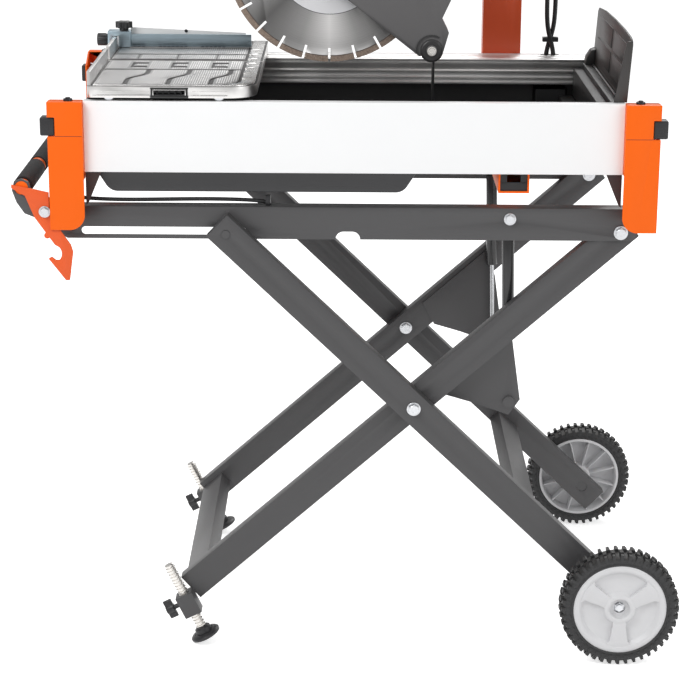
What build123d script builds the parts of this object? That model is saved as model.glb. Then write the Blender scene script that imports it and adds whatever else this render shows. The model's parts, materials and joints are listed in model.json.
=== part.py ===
"""Masonry saw on a folding stand, modelled in millimetres.

+X runs along the table, +Y away from the operator, +Z up.
The origin is on the floor, under the middle of the table.
"""
import os
from math import atan2, cos, degrees, hypot, pi, radians, sin
from build123d import *

os.makedirs("parts", exist_ok=True)

# Table and water tray
panel_half_length = 431.0
body_half_width = 275.0
panel_bottom = 821.5
panel_height = 114.5
panel_top = panel_bottom + panel_height
panel_sheet = 2.0
panel_return = 18.0
tray_wall = 4.0
sump_drop = 37.5
sump_bottom = panel_bottom - sump_drop
rail_depth = 55.0
rail_back_y = body_half_width - 20.0
rail_front_y = rail_back_y - rail_depth
rail_bottom = panel_top - 45.0

# Cart
cart_length = 268.6
cart_left = -panel_half_length + 6.4
cart_right = cart_left + cart_length
cart_front = -body_half_width
cart_back = rail_back_y - 5.0
cart_top = panel_top + 25.5
cart_skirt_bottom = cart_top - 20.0
cart_wall = 4.5
slot_width = 8.0
slot_bottom = cart_top - 11.0
backstop_height = 20.0
backstop_sheet = 6.0
roller_radius = 9.0
roller_shaft_radius = 3.0
guide_y = rail_front_y - 50.0

# Blade and head: the blade dips a little below the cart's top
blade_radius = 175.0
blade_dip = 1.5
blade_thickness = 2.4
segment_count = 24
segment_height = 10.0
segment_thickness = 3.2
arbor_radius = 12.7
head_reach = 311.8
head_rise = 150.0
head_pivot_x = panel_half_length - 161.5
blade_x = head_pivot_x - head_reach
blade_z = cart_top - blade_dip + blade_radius
head_pivot_z = blade_z + head_rise
flange_radius = 42.0
guard_radius = blade_radius + 39.0
guard_half_width = 31.0
guard_wall = 3.0
head_shaft_radius = 15.0
motor_radius = 66.0
motor_front_y = 60.0
motor_back_y = 215.0
motor_cover_depth = 47.0

# Corner brackets, handle and hook levers
bracket_width = 56.0
bracket_outer_x = panel_half_length + bracket_width
bracket_front_y = body_half_width + 14.0
bracket_bottom = panel_bottom - 92.5
bracket_top = panel_top
bracket_sheet = 3.0
handle_reach = 45.5
handle_x = -bracket_outer_x - handle_reach
handle_z = panel_bottom - 25.5
handle_radius = 11.0
grip_radius = 15.5
lever_pivot_x = -bracket_outer_x - 8.8
lever_pivot_z = handle_z - 37.8
lever_sheet = 3.5
lever_gap = 1.0
lever_slot_top = handle_z + 4.0

# Folding stand: the legs' pivots are placed from the right-hand one
tube_depth = 49.0
tube_thickness = 24.0
tube_wall = 2.0
stand_rail_height = 53.0
stand_rail_top = panel_bottom - 61.5
stand_rail_bottom = stand_rail_top - stand_rail_height
stand_rail_web_y = body_half_width - 25.5
stand_rail_sheet = 3.0
leg_pivot_x = panel_half_length + 4.2
leg_pivot_z = stand_rail_bottom + 13.7
cross_x = leg_pivot_x - 333.5
cross_z = leg_pivot_z - 295.0
slot_pin_x = leg_pivot_x - 641.6
slot_pin_z = stand_rail_bottom + 13.0
wheel_x = leg_pivot_x + 12.8
wheel_radius = 100.0
wheel_width = 45.0
wheel_y = stand_rail_web_y + 77.5
pivot_pin_radius = 8.0
slot_pin_radius = 4.5
slot_height = 13.0
foot_tilt = 26.0
foot_rod_radius = 8.5
foot_rod_length = 145.0
foot_pad_radius = 26.0
foot_y = stand_rail_web_y + 10.0
inner_angle = degrees(atan2(leg_pivot_z - cross_z, leg_pivot_x - cross_x))
leg_end_height = 93.25
inner_leg_length = (leg_pivot_z - leg_end_height) / sin(radians(inner_angle))
foot_x = leg_pivot_x - inner_leg_length * cos(radians(inner_angle)) + 26.6
wheel_margin = 38.5
outer_leg_length = hypot(wheel_x - slot_pin_x, slot_pin_z - wheel_radius) + wheel_margin

# Gas springs
spring_top_x = leg_pivot_x - 181.0
spring_top_z = stand_rail_top - 17.6
spring_low_x = leg_pivot_x - 172.6
spring_low_z = cross_z - 2.2
spring_y = stand_rail_web_y - 43.5
cylinder_radius = 10.0
cylinder_length = 178.0
spring_rod_radius = 4.0

# Clearances
running_fit = 0.05
face_gap = 0.5
seat_gap = 0.3


def side_plane(y):
    """Upright plane at y, with its sketch x along +X and its sketch y along +Z."""
    return Plane.XZ.offset(-y)


def save(piece, name):
    """Label a finished piece and write it."""
    piece.part.label = name
    export_step(piece.part, "parts/" + name + ".step")


def slab(x0, x1, y0, y1, z0, z1, mode=Mode.ADD):
    """Box between two corners, inside the current part."""
    size = (x1 - x0, y1 - y0, z1 - z0)
    with Locations(((x0 + x1) / 2, (y0 + y1) / 2, (z0 + z1) / 2)):
        Box(*size, mode=mode)


def outline_plate(points, y0, y1, mode=Mode.ADD):
    """Flat plate with an outline in x and z, from y0 to y1."""
    with BuildSketch(side_plane(y1)) as profile:
        with BuildLine():
            Polyline(*points, close=True)
        make_face()
    extrude(profile.sketch, amount=y1 - y0, mode=mode)


def rod_y(x, z, radius, y0, y1, mode=Mode.ADD):
    """Round bar along y."""
    with BuildSketch(side_plane(y1)) as profile:
        with Locations((x, z)):
            Circle(radius)
    extrude(profile.sketch, amount=y1 - y0, mode=mode)


def rod_x(y, z, radius, x0, x1, mode=Mode.ADD):
    """Round bar along x."""
    with BuildSketch(Plane.YZ.offset(x0)) as profile:
        with Locations((y, z)):
            Circle(radius)
    extrude(profile.sketch, amount=x1 - x0, mode=mode)


def rod_z(x, y, radius, z0, z1, mode=Mode.ADD):
    """Round bar along z."""
    with BuildSketch(Plane.XY.offset(z0)) as profile:
        with Locations((x, y)):
            Circle(radius)
    extrude(profile.sketch, amount=z1 - z0, mode=mode)


def save_pair(front, name):
    """Write the front piece and its mirror image at the back."""
    save(front, name + "_front")
    with BuildPart() as rear:
        mirror(front.part, about=Plane.XZ)
    save(rear, name + "_rear")


# ---- Side panels: one folded sheet each, a channel open towards the tray
panel_inner_y = body_half_width - panel_sheet
return_y = body_half_width - panel_return
with BuildPart() as front_panel:
    slab(-panel_half_length, panel_half_length, -body_half_width, -panel_inner_y, panel_bottom, panel_top)
    for low in (panel_bottom, panel_top - panel_sheet):
        slab(-panel_half_length, panel_half_length, -body_half_width, -return_y, low, low + panel_sheet)
save(front_panel, "front_panel")

# The rear panel has a notch in its upper return for the pump's cable and hose
pump_width = 58.0
pump_right = panel_half_length - 43.0
pump_left = pump_right - pump_width
pump_cable_x = pump_left + 21.0
pump_hose_x = pump_left + 36.0
pump_cable_radius = 4.0
pump_hose_radius = 5.5
pump_cable_y = rail_back_y + pump_hose_radius + 1.5
notch_margin = 4.0
with BuildPart() as rear_panel:
    mirror(front_panel.part, about=Plane.XZ)
    slab(
        pump_cable_x - pump_cable_radius - notch_margin,
        pump_hose_x + pump_hose_radius + notch_margin,
        return_y - 1,
        pump_cable_y + pump_hose_radius + 2,
        panel_top - panel_sheet - 1,
        panel_top + 1,
        Mode.SUBTRACT,
    )
save(rear_panel, "rear_panel")

# ---- Water tray: open basin with a lower sump
tray_half_length = panel_half_length - face_gap
tray_half_width = panel_inner_y - seat_gap
tray_floor = panel_bottom + panel_sheet
tray_rim = panel_top - panel_sheet - seat_gap
sump_slope = 26.0
sump_left = -tray_half_length + 10.5
sump_right = blade_x + 148.3
sump_left_low = sump_left + sump_slope
sump_right_low = sump_right - sump_slope
sump_half_width = body_half_width - 30.0
sump_round = 22.0
with BuildPart() as water_tray:
    slab(-tray_half_length, tray_half_length, -tray_half_width, tray_half_width, tray_floor, tray_rim)
    sump_outline = [
        (sump_left, tray_floor + 1),
        (sump_left_low, sump_bottom),
        (sump_right_low, sump_bottom),
        (sump_right, tray_floor + 1),
    ]
    outline_plate(sump_outline, -sump_half_width, sump_half_width)
    fillet(water_tray.edges().filter_by(Axis.Y).sort_by(Axis.Z)[:2], sump_round)
    slab(
        -tray_half_length + tray_wall,
        tray_half_length - tray_wall,
        -tray_half_width + tray_wall,
        tray_half_width - tray_wall,
        tray_floor + tray_wall,
        tray_rim + 1,
        Mode.SUBTRACT,
    )
    hollow_outline = [
        (sump_left + tray_wall * 1.5, tray_floor + tray_wall + 1),
        (sump_left_low + tray_wall * 0.7, sump_bottom + tray_wall),
        (sump_right_low - tray_wall * 0.7, sump_bottom + tray_wall),
        (sump_right - tray_wall * 1.5, tray_floor + tray_wall + 1),
    ]
    hollow_half = sump_half_width - tray_wall
    outline_plate(hollow_outline, -hollow_half, hollow_half, Mode.SUBTRACT)
save(water_tray, "water_tray")

# ---- Guide rail: hollow extrusion with long grooves in its front face
rail_half_length = tray_half_length - tray_wall - seat_gap
rail_wall = 4.0
rail_groove = 1.2
groove_levels = [rail_bottom + height for height in (7.0, 14.0, 23.0, 33.0)]
with BuildPart() as guide_rail:
    slab(-rail_half_length, rail_half_length, rail_front_y, rail_back_y, rail_bottom, panel_top)
    slab(
        -rail_half_length - 1,
        rail_half_length + 1,
        rail_front_y + rail_wall,
        rail_back_y - rail_wall,
        rail_bottom + rail_wall,
        panel_top - rail_wall,
        Mode.SUBTRACT,
    )
    for level in groove_levels:
        slab(
            -rail_half_length - 1,
            rail_half_length + 1,
            rail_front_y - 1,
            rail_front_y + rail_groove,
            level - 1.2,
            level + 1.2,
            Mode.SUBTRACT,
        )
save(guide_rail, "guide_rail")

# ---- Corner brackets: bent sheet with front, outer, top and inner faces
bracket_corner = 25.0
bracket_depth = 68.0
bracket_flange = 26.0
latch_low = bracket_top - 54.5
latch_high = bracket_top - 25.0
latch_inner_x = bracket_outer_x - 11.5
latch_back_y = bracket_front_y - 27.0
for end, side_name in ((-1, "left"), (1, "right")):
    inner_x = end * panel_half_length
    outer_x = end * bracket_outer_x
    with BuildPart() as bracket:
        with BuildSketch(side_plane(bracket_sheet - bracket_front_y)):
            with BuildLine():
                Polyline(
                    (inner_x, bracket_top),
                    (outer_x, bracket_top),
                    (outer_x, bracket_bottom),
                    (inner_x, bracket_bottom),
                    close=True,
                )
            make_face()
            low_inner = vertices().sort_by(Axis.Y)[:2].sort_by(Axis.X)[-1 if end < 0 else 0]
            fillet(low_inner, bracket_corner)
        extrude(amount=bracket_sheet)
        back_y = bracket_depth - bracket_front_y
        x0, x1 = sorted((outer_x, outer_x - end * bracket_sheet))
        slab(x0, x1, -bracket_front_y, back_y, bracket_bottom, bracket_top)
        x0, x1 = sorted((inner_x, outer_x))
        flange_y = -bracket_front_y + bracket_flange
        slab(x0, x1, -bracket_front_y, flange_y, bracket_top - bracket_sheet, bracket_top)
        x0, x1 = sorted((inner_x, inner_x + end * bracket_sheet))
        slab(x0, x1, -bracket_front_y, back_y, panel_bottom, bracket_top)
        x0, x1 = sorted((end * (latch_inner_x - face_gap), outer_x + end))
        slab(
            x0,
            x1,
            -bracket_front_y - 1,
            -latch_back_y + face_gap,
            latch_low - face_gap,
            latch_high + face_gap,
            Mode.SUBTRACT,
        )
        if end < 0:
            slot_back = -bracket_front_y + bracket_sheet + lever_sheet + 2 * lever_gap
            slab(
                outer_x - 1,
                outer_x + bracket_sheet + 0.1,
                -bracket_front_y + bracket_sheet,
                slot_back,
                bracket_bottom - 1,
                lever_slot_top,
                Mode.SUBTRACT,
            )
        mirror(about=Plane.XZ)
    save(bracket, "corner_brackets_" + side_name)

# ---- Corner latches: push catches in the cut-outs of the brackets
latch_reach = 12.0
latch_front_y = bracket_front_y - bracket_sheet - face_gap
for end, side_name in ((-1, "left"), (1, "right")):
    with BuildPart() as latch:
        x0, x1 = sorted((end * latch_inner_x, end * (bracket_outer_x + latch_reach)))
        slab(x0, x1, -latch_front_y, -latch_back_y, latch_low, latch_high)
        fillet(latch.edges().filter_by(Axis.Y), 3)
    save(latch, "corner_latch_front_" + side_name)
    with BuildPart() as rear_latch:
        mirror(latch.part, about=Plane.XZ)
    save(rear_latch, "corner_latch_rear_" + side_name)

# ---- Handle: bar, foam grips and end plates
plate_sheet = 4.0
lever_bolt_radius = 5.0
plate_front_y = bracket_front_y - bracket_sheet - lever_sheet - 2 * lever_gap
with BuildPart() as handle_plates:
    plate_outline = [
        (-bracket_outer_x, lever_pivot_z - 14),
        (handle_x + 23.5, lever_pivot_z - 12),
        (handle_x + 3.5, lever_pivot_z - 4),
        (handle_x - 8.5, handle_z - 24),
        (handle_x - 15.5, handle_z - 4),
        (handle_x - 11.5, handle_z + 11),
        (handle_x, handle_z + 15),
        (handle_x + 11.5, handle_z + 10),
        (handle_x + 17.5, handle_z - 9),
        (-bracket_outer_x, handle_z - 16),
    ]
    outline_plate(plate_outline, -plate_front_y, -plate_front_y + plate_sheet)
    rod_y(
        handle_x,
        handle_z,
        handle_radius + running_fit,
        -plate_front_y,
        -plate_front_y + plate_sheet,
        Mode.SUBTRACT,
    )
    rod_y(
        lever_pivot_x,
        lever_pivot_z,
        lever_bolt_radius,
        -plate_front_y,
        -plate_front_y + plate_sheet,
        Mode.SUBTRACT,
    )
    mirror(about=Plane.XZ)
save(handle_plates, "handle_plates")

collar_radius = 13.5
collar_start = 95.0
collar_end = 115.0
with BuildPart() as handle_bar:
    rod_y(handle_x, handle_z, handle_radius, -plate_front_y, plate_front_y)
    for y0, y1 in ((-collar_end, -collar_start), (collar_start, collar_end)):
        rod_y(handle_x, handle_z, collar_radius, y0 + seat_gap, y1 - seat_gap)
save(handle_bar, "handle_bar")

grip_end = plate_front_y - 18.5
grip_spans = ((-grip_end, -collar_end), (-collar_start, collar_start), (collar_end, grip_end))
with BuildPart() as handle_grips:
    for y0, y1 in grip_spans:
        rod_y(handle_x, handle_z, grip_radius, y0, y1)
        rod_y(handle_x, handle_z, handle_radius + seat_gap, y0, y1, Mode.SUBTRACT)
save(handle_grips, "handle_grips")

# ---- Hook levers: two plates joined by a cross bar, turning on the handle plates
lever_front_y = plate_front_y + lever_gap + lever_sheet
lever_bar_radius = 5.0
lever_bar_x = lever_pivot_x + 2.8
lever_bar_z = lever_pivot_z - 39.2


def on_lever(along, up):
    """Point in x and z beside and above the hook levers' pivot."""
    return (lever_pivot_x + along, lever_pivot_z + up)


with BuildPart() as hook_lever:
    with BuildSketch(side_plane(-lever_front_y + lever_sheet)):
        with BuildLine():
            Polyline(
                (handle_x - 15.5, handle_z + 0.5),
                on_lever(-30.8, 25.8),
                on_lever(-16.7, -9.5),
                on_lever(14.6, -54.6),
                on_lever(21.8, -58.7),
            )
            ThreePointArc(on_lever(21.8, -58.7), on_lever(25.3, -70.2), on_lever(21.0, -79.7))
            Polyline(
                on_lever(21.0, -79.7),
                on_lever(15.3, -79.7),
                on_lever(8.8, -74.2),
                on_lever(3.8, -77.7),
                on_lever(31.1, -113.7),
                on_lever(37.3, -112.7),
                on_lever(43.8, -66.2),
                on_lever(40.3, -54.2),
                on_lever(25.8, -33.2),
                on_lever(7.2, -1.2),
                on_lever(7.2, 31.3),
                on_lever(-12.2, 35.8),
                (handle_x - 15.5, handle_z + 6),
                (handle_x - 15.5, handle_z + 0.5),
            )
        make_face()
    extrude(amount=lever_sheet)
    rod_y(
        lever_pivot_x,
        lever_pivot_z,
        lever_bolt_radius + running_fit,
        -lever_front_y,
        -lever_front_y + lever_sheet,
        Mode.SUBTRACT,
    )
    with BuildSketch(side_plane(lever_front_y)) as rear_plate:
        with BuildLine():
            Polyline(
                (handle_x - 15.5, handle_z + 0.5),
                on_lever(-30.8, 25.8),
                on_lever(-16.7, -9.5),
                on_lever(-4.5, -44.0),
                on_lever(9.5, -44.0),
                on_lever(12.0, -28.0),
                on_lever(7.2, -1.2),
                on_lever(7.2, 31.3),
                on_lever(-12.2, 35.8),
                (handle_x - 15.5, handle_z + 6),
                close=True,
            )
        make_face()
        with Locations((lever_pivot_x, lever_pivot_z)):
            Circle(lever_bolt_radius + running_fit, mode=Mode.SUBTRACT)
    extrude(rear_plate.sketch, amount=lever_sheet)
    rod_y(lever_bar_x, lever_bar_z, lever_bar_radius, -lever_front_y, lever_front_y)
save(hook_lever, "hook_lever")

# ---- Stand rails: angle section with the slot, the pivots and a notch
rail_right_x = bracket_outer_x - 3.0
rail_left_x = -rail_right_x
slot_left_x = rail_left_x + 42.0
slot_right_x = slot_pin_x + 32.4
notch_x = slot_right_x + 165.0
notch_width = 40.0
notch_height = 13.0
web_inner_y = stand_rail_web_y - stand_rail_sheet
flange_inner_y = stand_rail_web_y - 31.5
with BuildPart() as stand_rail:
    with BuildSketch(side_plane(-web_inner_y)):
        with BuildLine():
            Polyline(
                (rail_left_x, stand_rail_top),
                (rail_right_x, stand_rail_top),
                (rail_right_x, bracket_bottom + 2),
                (leg_pivot_x + tube_depth / 2 + 6, bracket_bottom),
                (leg_pivot_x + tube_depth / 2, stand_rail_bottom + 6),
                (leg_pivot_x + tube_depth / 2 - 6, stand_rail_bottom),
                (rail_left_x + 19, stand_rail_bottom),
                (rail_left_x + 8, stand_rail_bottom + 6),
                (rail_left_x, bracket_bottom),
                close=True,
            )
        make_face()
        slot_length = slot_right_x - slot_left_x
        with Locations(((slot_left_x + slot_right_x) / 2, slot_pin_z)):
            SlotOverall(slot_length, slot_height, mode=Mode.SUBTRACT)
        with Locations((notch_x, stand_rail_bottom)):
            SlotOverall(notch_width, 2 * notch_height, mode=Mode.SUBTRACT)
        with Locations((leg_pivot_x, leg_pivot_z)):
            Circle(pivot_pin_radius + running_fit, mode=Mode.SUBTRACT)
        with Locations((spring_top_x, spring_top_z)):
            Circle(5.0, mode=Mode.SUBTRACT)
    extrude(amount=stand_rail_sheet)
    slab(
        rail_left_x,
        rail_right_x,
        -web_inner_y,
        -flange_inner_y,
        stand_rail_top - stand_rail_sheet,
        stand_rail_top,
    )
save_pair(stand_rail, "stand_rail")

# ---- Inner legs: two tubes hinged at the right, a foot bar, gussets and foot sockets
inner_layer_y = stand_rail_web_y - stand_rail_sheet - 1.0
inner_layer_back_y = inner_layer_y - tube_thickness
outer_layer_y = stand_rail_web_y + 1.0
outer_layer_front_y = outer_layer_y + tube_thickness
inner_along = (-cos(radians(inner_angle)), -sin(radians(inner_angle)))
inner_up = (-sin(radians(inner_angle)), cos(radians(inner_angle)))


def on_inner_leg(along, up):
    """Point in x and z at a distance along the inner leg and above its centre line."""
    x = leg_pivot_x + along * inner_along[0] + up * inner_up[0]
    z = leg_pivot_z + along * inner_along[1] + up * inner_up[1]
    return (x, z)


def leg_tube(start, direction_degrees, length, before, y0, y1):
    """Rectangular tube with a closed wall, its centre line in x and z from start."""
    middle = ((length - before) / 2, 0)
    along = (cos(radians(direction_degrees)), 0, sin(radians(direction_degrees)))
    leg_plane = Plane(origin=(start[0], y1, start[1]), x_dir=along, z_dir=(0, -1, 0))
    with BuildSketch(leg_plane) as outside:
        with Locations(middle):
            Rectangle(length + before, tube_depth)
    extrude(outside.sketch, amount=y1 - y0)
    with BuildSketch(leg_plane.offset(tube_wall)) as inside:
        with Locations(middle):
            Rectangle(length + before + 2, tube_depth - 2 * tube_wall)
    extrude(inside.sketch, amount=y1 - y0 - 2 * tube_wall, mode=Mode.SUBTRACT)


def tilted_outline(along0, along1, up0, up1, place):
    """Four corners of a rectangle along a leg."""
    return [place(along0, up0), place(along1, up0), place(along1, up1), place(along0, up1)]


foot_bar_end = inner_leg_length
foot_bar_start = foot_bar_end - 48.0
foot_bar_low = -10.0
foot_bar_high = 14.0
gusset_sheet = 4.0
gusset_bolt_radius = 5.0
foot_along = (-sin(radians(foot_tilt)), cos(radians(foot_tilt)))
foot_across = (-cos(radians(foot_tilt)), -sin(radians(foot_tilt)))
foot_floor_z = foot_pad_radius * sin(radians(foot_tilt))
socket_low = 46.0
socket_high = 86.0
socket_half = 15.0
socket_front_y = foot_y + 13.5
knob_height = 70.0


def on_foot(height, across):
    """Point in x and z on a foot's axis, height above the pad's sole, across towards the knob."""
    x = foot_x + height * foot_along[0] + across * foot_across[0]
    z = foot_floor_z + height * foot_along[1] + across * foot_across[1]
    return (x, z)


foot_axis = Vector(foot_along[0], 0, foot_along[1])
foot_sole = Vector(foot_x, -foot_y, foot_floor_z)


def foot_plane(height):
    """Plane square to a front foot's rod, height above the pad's sole."""
    return Plane(origin=foot_sole + foot_axis * height, x_dir=(0, 1, 0), z_dir=foot_axis)


knob_axis = Vector(foot_across[0], 0, foot_across[1])


def knob_plane(across):
    """Plane square to a front foot's clamp screw, across from the rod's axis."""
    origin = foot_sole + foot_axis * knob_height + knob_axis * across
    return Plane(origin=origin, x_dir=(0, 1, 0), z_dir=knob_axis)


clamp_screw_radius = 4.0
with BuildPart() as inner_leg_frame:
    leg_start = (leg_pivot_x, leg_pivot_z)
    leg_tube(
        leg_start,
        180 + inner_angle,
        inner_leg_length,
        tube_depth / 2 - 6,
        -inner_layer_y,
        -inner_layer_back_y,
    )
    gusset_outline = [
        on_inner_leg(230, tube_depth / 2 - 8),
        (spring_low_x + 4.0, spring_low_z + 104.5),
        (spring_low_x + 18.8, spring_low_z + 2.9),
        (spring_low_x, spring_low_z - 24),
        (spring_low_x - 59.9, spring_low_z - 2.9),
        (spring_low_x - 108.2, spring_low_z + 11.2),
        on_inner_leg(390, tube_depth / 2 - 8),
    ]
    outline_plate(gusset_outline, -inner_layer_back_y, -inner_layer_back_y + gusset_sheet)
    rod_y(
        spring_low_x,
        spring_low_z,
        gusset_bolt_radius,
        -inner_layer_back_y - 1,
        -inner_layer_back_y + gusset_sheet + 1,
        Mode.SUBTRACT,
    )
    socket_outline = tilted_outline(socket_low, socket_high, -socket_half, socket_half, on_foot)
    outline_plate(socket_outline, -socket_front_y, -inner_layer_y)
    with BuildSketch(foot_plane(socket_low - 5)) as rod_hole:
        Circle(foot_rod_radius + running_fit)
    extrude(rod_hole.sketch, amount=socket_high - socket_low + 10, mode=Mode.SUBTRACT)
    with BuildSketch(knob_plane(foot_rod_radius - 1)) as screw_hole:
        Circle(clamp_screw_radius + running_fit)
    extrude(screw_hole.sketch, amount=socket_half, mode=Mode.SUBTRACT)
    rod_y(
        leg_pivot_x,
        leg_pivot_z,
        pivot_pin_radius + running_fit,
        -inner_layer_y - 1,
        -inner_layer_back_y + 1,
        Mode.SUBTRACT,
    )
    rod_y(
        cross_x,
        cross_z,
        pivot_pin_radius + running_fit,
        -inner_layer_y - 1,
        -inner_layer_back_y + 1,
        Mode.SUBTRACT,
    )
    rod_y(
        spring_low_x,
        spring_low_z,
        gusset_bolt_radius - running_fit,
        -inner_layer_back_y,
        -inner_layer_back_y + gusset_sheet,
    )
    rod_y(spring_low_x, spring_low_z, 10.0, -inner_layer_back_y - 6, -inner_layer_back_y)
    mirror(about=Plane.XZ)
    bar_outline = tilted_outline(foot_bar_start, foot_bar_end, foot_bar_low, foot_bar_high, on_inner_leg)
    outline_plate(bar_outline, -inner_layer_back_y, inner_layer_back_y)
save(inner_leg_frame, "inner_leg_frame")

# ---- Outer legs: two tubes crossing the inner ones, carrying the wheels
outer_angle = degrees(atan2(slot_pin_z - cross_z, cross_x - slot_pin_x))
outer_along = (cos(radians(outer_angle)), -sin(radians(outer_angle)))
outer_up = (sin(radians(outer_angle)), cos(radians(outer_angle)))
outer_before = 20.0
axle_radius = 10.0


def on_outer_leg(along, up):
    """Point in x and z at a distance along the outer leg and above its centre line."""
    x = slot_pin_x + along * outer_along[0] + up * outer_up[0]
    z = slot_pin_z + along * outer_along[1] + up * outer_up[1]
    return (x, z)


brace_start = 675.0
brace_end = 725.0
brace_low = -22.0
brace_high = 1.0
with BuildPart() as outer_leg_frame:
    leg_tube(
        (slot_pin_x, slot_pin_z),
        -outer_angle,
        outer_leg_length,
        outer_before,
        -outer_layer_front_y,
        -outer_layer_y,
    )
    for x, z, radius in (
        (slot_pin_x, slot_pin_z, slot_pin_radius),
        (cross_x, cross_z, pivot_pin_radius),
        (wheel_x, wheel_radius, axle_radius),
    ):
        rod_y(
            x,
            z,
            radius + running_fit,
            -outer_layer_front_y - 1,
            -outer_layer_y + 1,
            Mode.SUBTRACT,
        )
    mirror(about=Plane.XZ)
    brace_outline = tilted_outline(brace_start, brace_end, brace_low, brace_high, on_outer_leg)
    outline_plate(brace_outline, -outer_layer_y, outer_layer_y)
save(outer_leg_frame, "outer_leg_frame")

# ---- Leg bolts: slot pins and crossing bolts, carried by the outer legs
slot_pin_head = 8.0
cross_bolt_head = 10.0
bolt_head_height = 5.0
with BuildPart() as leg_bolts:
    rod_y(slot_pin_x, slot_pin_z, slot_pin_radius, -outer_layer_front_y, -web_inner_y + 4)
    rod_y(
        slot_pin_x,
        slot_pin_z,
        slot_pin_head,
        -outer_layer_front_y - bolt_head_height,
        -outer_layer_front_y,
    )
    rod_y(slot_pin_x, slot_pin_z, slot_pin_head, -web_inner_y + face_gap, -web_inner_y + 4)
    rod_y(cross_x, cross_z, pivot_pin_radius, -outer_layer_front_y, -inner_layer_back_y + 6)
    rod_y(
        cross_x,
        cross_z,
        cross_bolt_head,
        -outer_layer_front_y - bolt_head_height,
        -outer_layer_front_y,
    )
    rod_y(cross_x, cross_z, cross_bolt_head, -inner_layer_back_y + face_gap, -inner_layer_back_y + 6)
    mirror(about=Plane.XZ)
save(leg_bolts, "leg_bolts")

# ---- Wheel axles: stub shafts fixed in the outer legs, with a nut at each end
hub_half = wheel_width / 2 - 1
axle_nut_height = 7.0
wheel_outer_y = wheel_y + wheel_width / 2
with BuildPart() as wheel_axles:
    rod_y(wheel_x, wheel_radius, axle_radius, -wheel_outer_y + 9, -outer_layer_y)
    rod_y(
        wheel_x,
        wheel_radius,
        axle_radius + 4,
        -wheel_y + hub_half + face_gap,
        -outer_layer_front_y,
    )
    with BuildSketch(side_plane(-wheel_outer_y + 9 + axle_nut_height)) as nut:
        with Locations((wheel_x, wheel_radius)):
            RegularPolygon(9.5, 6, major_radius=False)
            Circle(axle_radius - 2, mode=Mode.SUBTRACT)
    extrude(nut.sketch, amount=axle_nut_height)
    mirror(about=Plane.XZ)
save(wheel_axles, "wheel_axles")

# ---- Wheels: moulded hub and a lugged tyre
hub_radius = wheel_radius - 22.0
hub_rim = 11.0
hub_core_radius = 27.0
hub_web = 7.0
spoke_count = 3
spoke_width = 34.0
tyre_groove = 4.0
lug_count = 44
tyre_depth = 24.0
with BuildPart() as wheel_hub:
    rod_y(wheel_x, wheel_radius, hub_radius, -wheel_y - hub_half, -wheel_y + hub_half)
    outer_face = -wheel_y - hub_half
    inner_face = -wheel_y + hub_half
    for y0, y1 in ((outer_face - 1, -wheel_y - hub_web), (-wheel_y + hub_web, inner_face + 1)):
        with BuildSketch(side_plane(y1)) as pocket:
            with Locations((wheel_x, wheel_radius)):
                Circle(hub_radius - hub_rim)
                Circle(hub_core_radius, mode=Mode.SUBTRACT)
                for turn in range(spoke_count):
                    with Locations(Location((0, 0), 90 + turn * 360 / spoke_count)):
                        Rectangle(
                            hub_radius,
                            spoke_width,
                            align=(Align.MIN, Align.CENTER),
                            mode=Mode.SUBTRACT,
                        )
        extrude(pocket.sketch, amount=y1 - y0, mode=Mode.SUBTRACT)
    rod_y(wheel_x, wheel_radius, 17.0, outer_face - 1, -wheel_outer_y + 9 + axle_nut_height, Mode.SUBTRACT)
    rod_y(
        wheel_x,
        wheel_radius,
        axle_radius + running_fit,
        outer_face - 1,
        inner_face + 1,
        Mode.SUBTRACT,
    )
save_pair(wheel_hub, "wheel_hub")

with BuildPart() as tyre:
    with BuildSketch(Plane.XY) as tyre_section:
        with Locations((wheel_radius - tyre_depth / 2, -wheel_y)):
            RectangleRounded(tyre_depth, wheel_width, 5)
        with Locations((hub_radius - 4, -wheel_y)):
            Rectangle(8, wheel_width + 2, mode=Mode.SUBTRACT)
    revolve(tyre_section.sketch, axis=Axis.Y)
    with BuildSketch(side_plane(-wheel_y + wheel_width / 2 + 1)) as grooves:
        with PolarLocations(wheel_radius + 1, lug_count):
            Rectangle(2 * tyre_groove + 2, pi * wheel_radius / lug_count)
    extrude(grooves.sketch, amount=wheel_width / 2 - 2.5, mode=Mode.SUBTRACT)
    with BuildSketch(side_plane(-wheel_y - 3.5)) as grooves:
        with PolarLocations(wheel_radius + 1, lug_count, start_angle=180 / lug_count):
            Rectangle(2 * tyre_groove + 2, pi * wheel_radius / lug_count)
    extrude(grooves.sketch, amount=wheel_width / 2 - 2.5, mode=Mode.SUBTRACT)
with BuildPart() as placed_tyre:
    add(tyre.part.moved(Location((wheel_x, 0, wheel_radius))))
save_pair(placed_tyre, "tyre")

# ---- Feet: threaded rod in the socket with a tilted round pad
pad_height = 9.0
foot_rod_top = foot_rod_length
with BuildPart() as foot:
    with BuildSketch(foot_plane(0)) as pad:
        Circle(foot_pad_radius)
    extrude(pad.sketch, amount=pad_height)
    fillet(foot.edges().sort_by(Axis.Z)[-1], 2)
    with BuildSketch(foot_plane(pad_height - 1)) as collar:
        Circle(foot_rod_radius + 5)
    extrude(collar.sketch, amount=10)
    with BuildSketch(foot_plane(pad_height)) as foot_rod:
        Circle(foot_rod_radius)
    extrude(foot_rod.sketch, amount=foot_rod_top - pad_height)
save_pair(foot, "foot")

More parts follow.
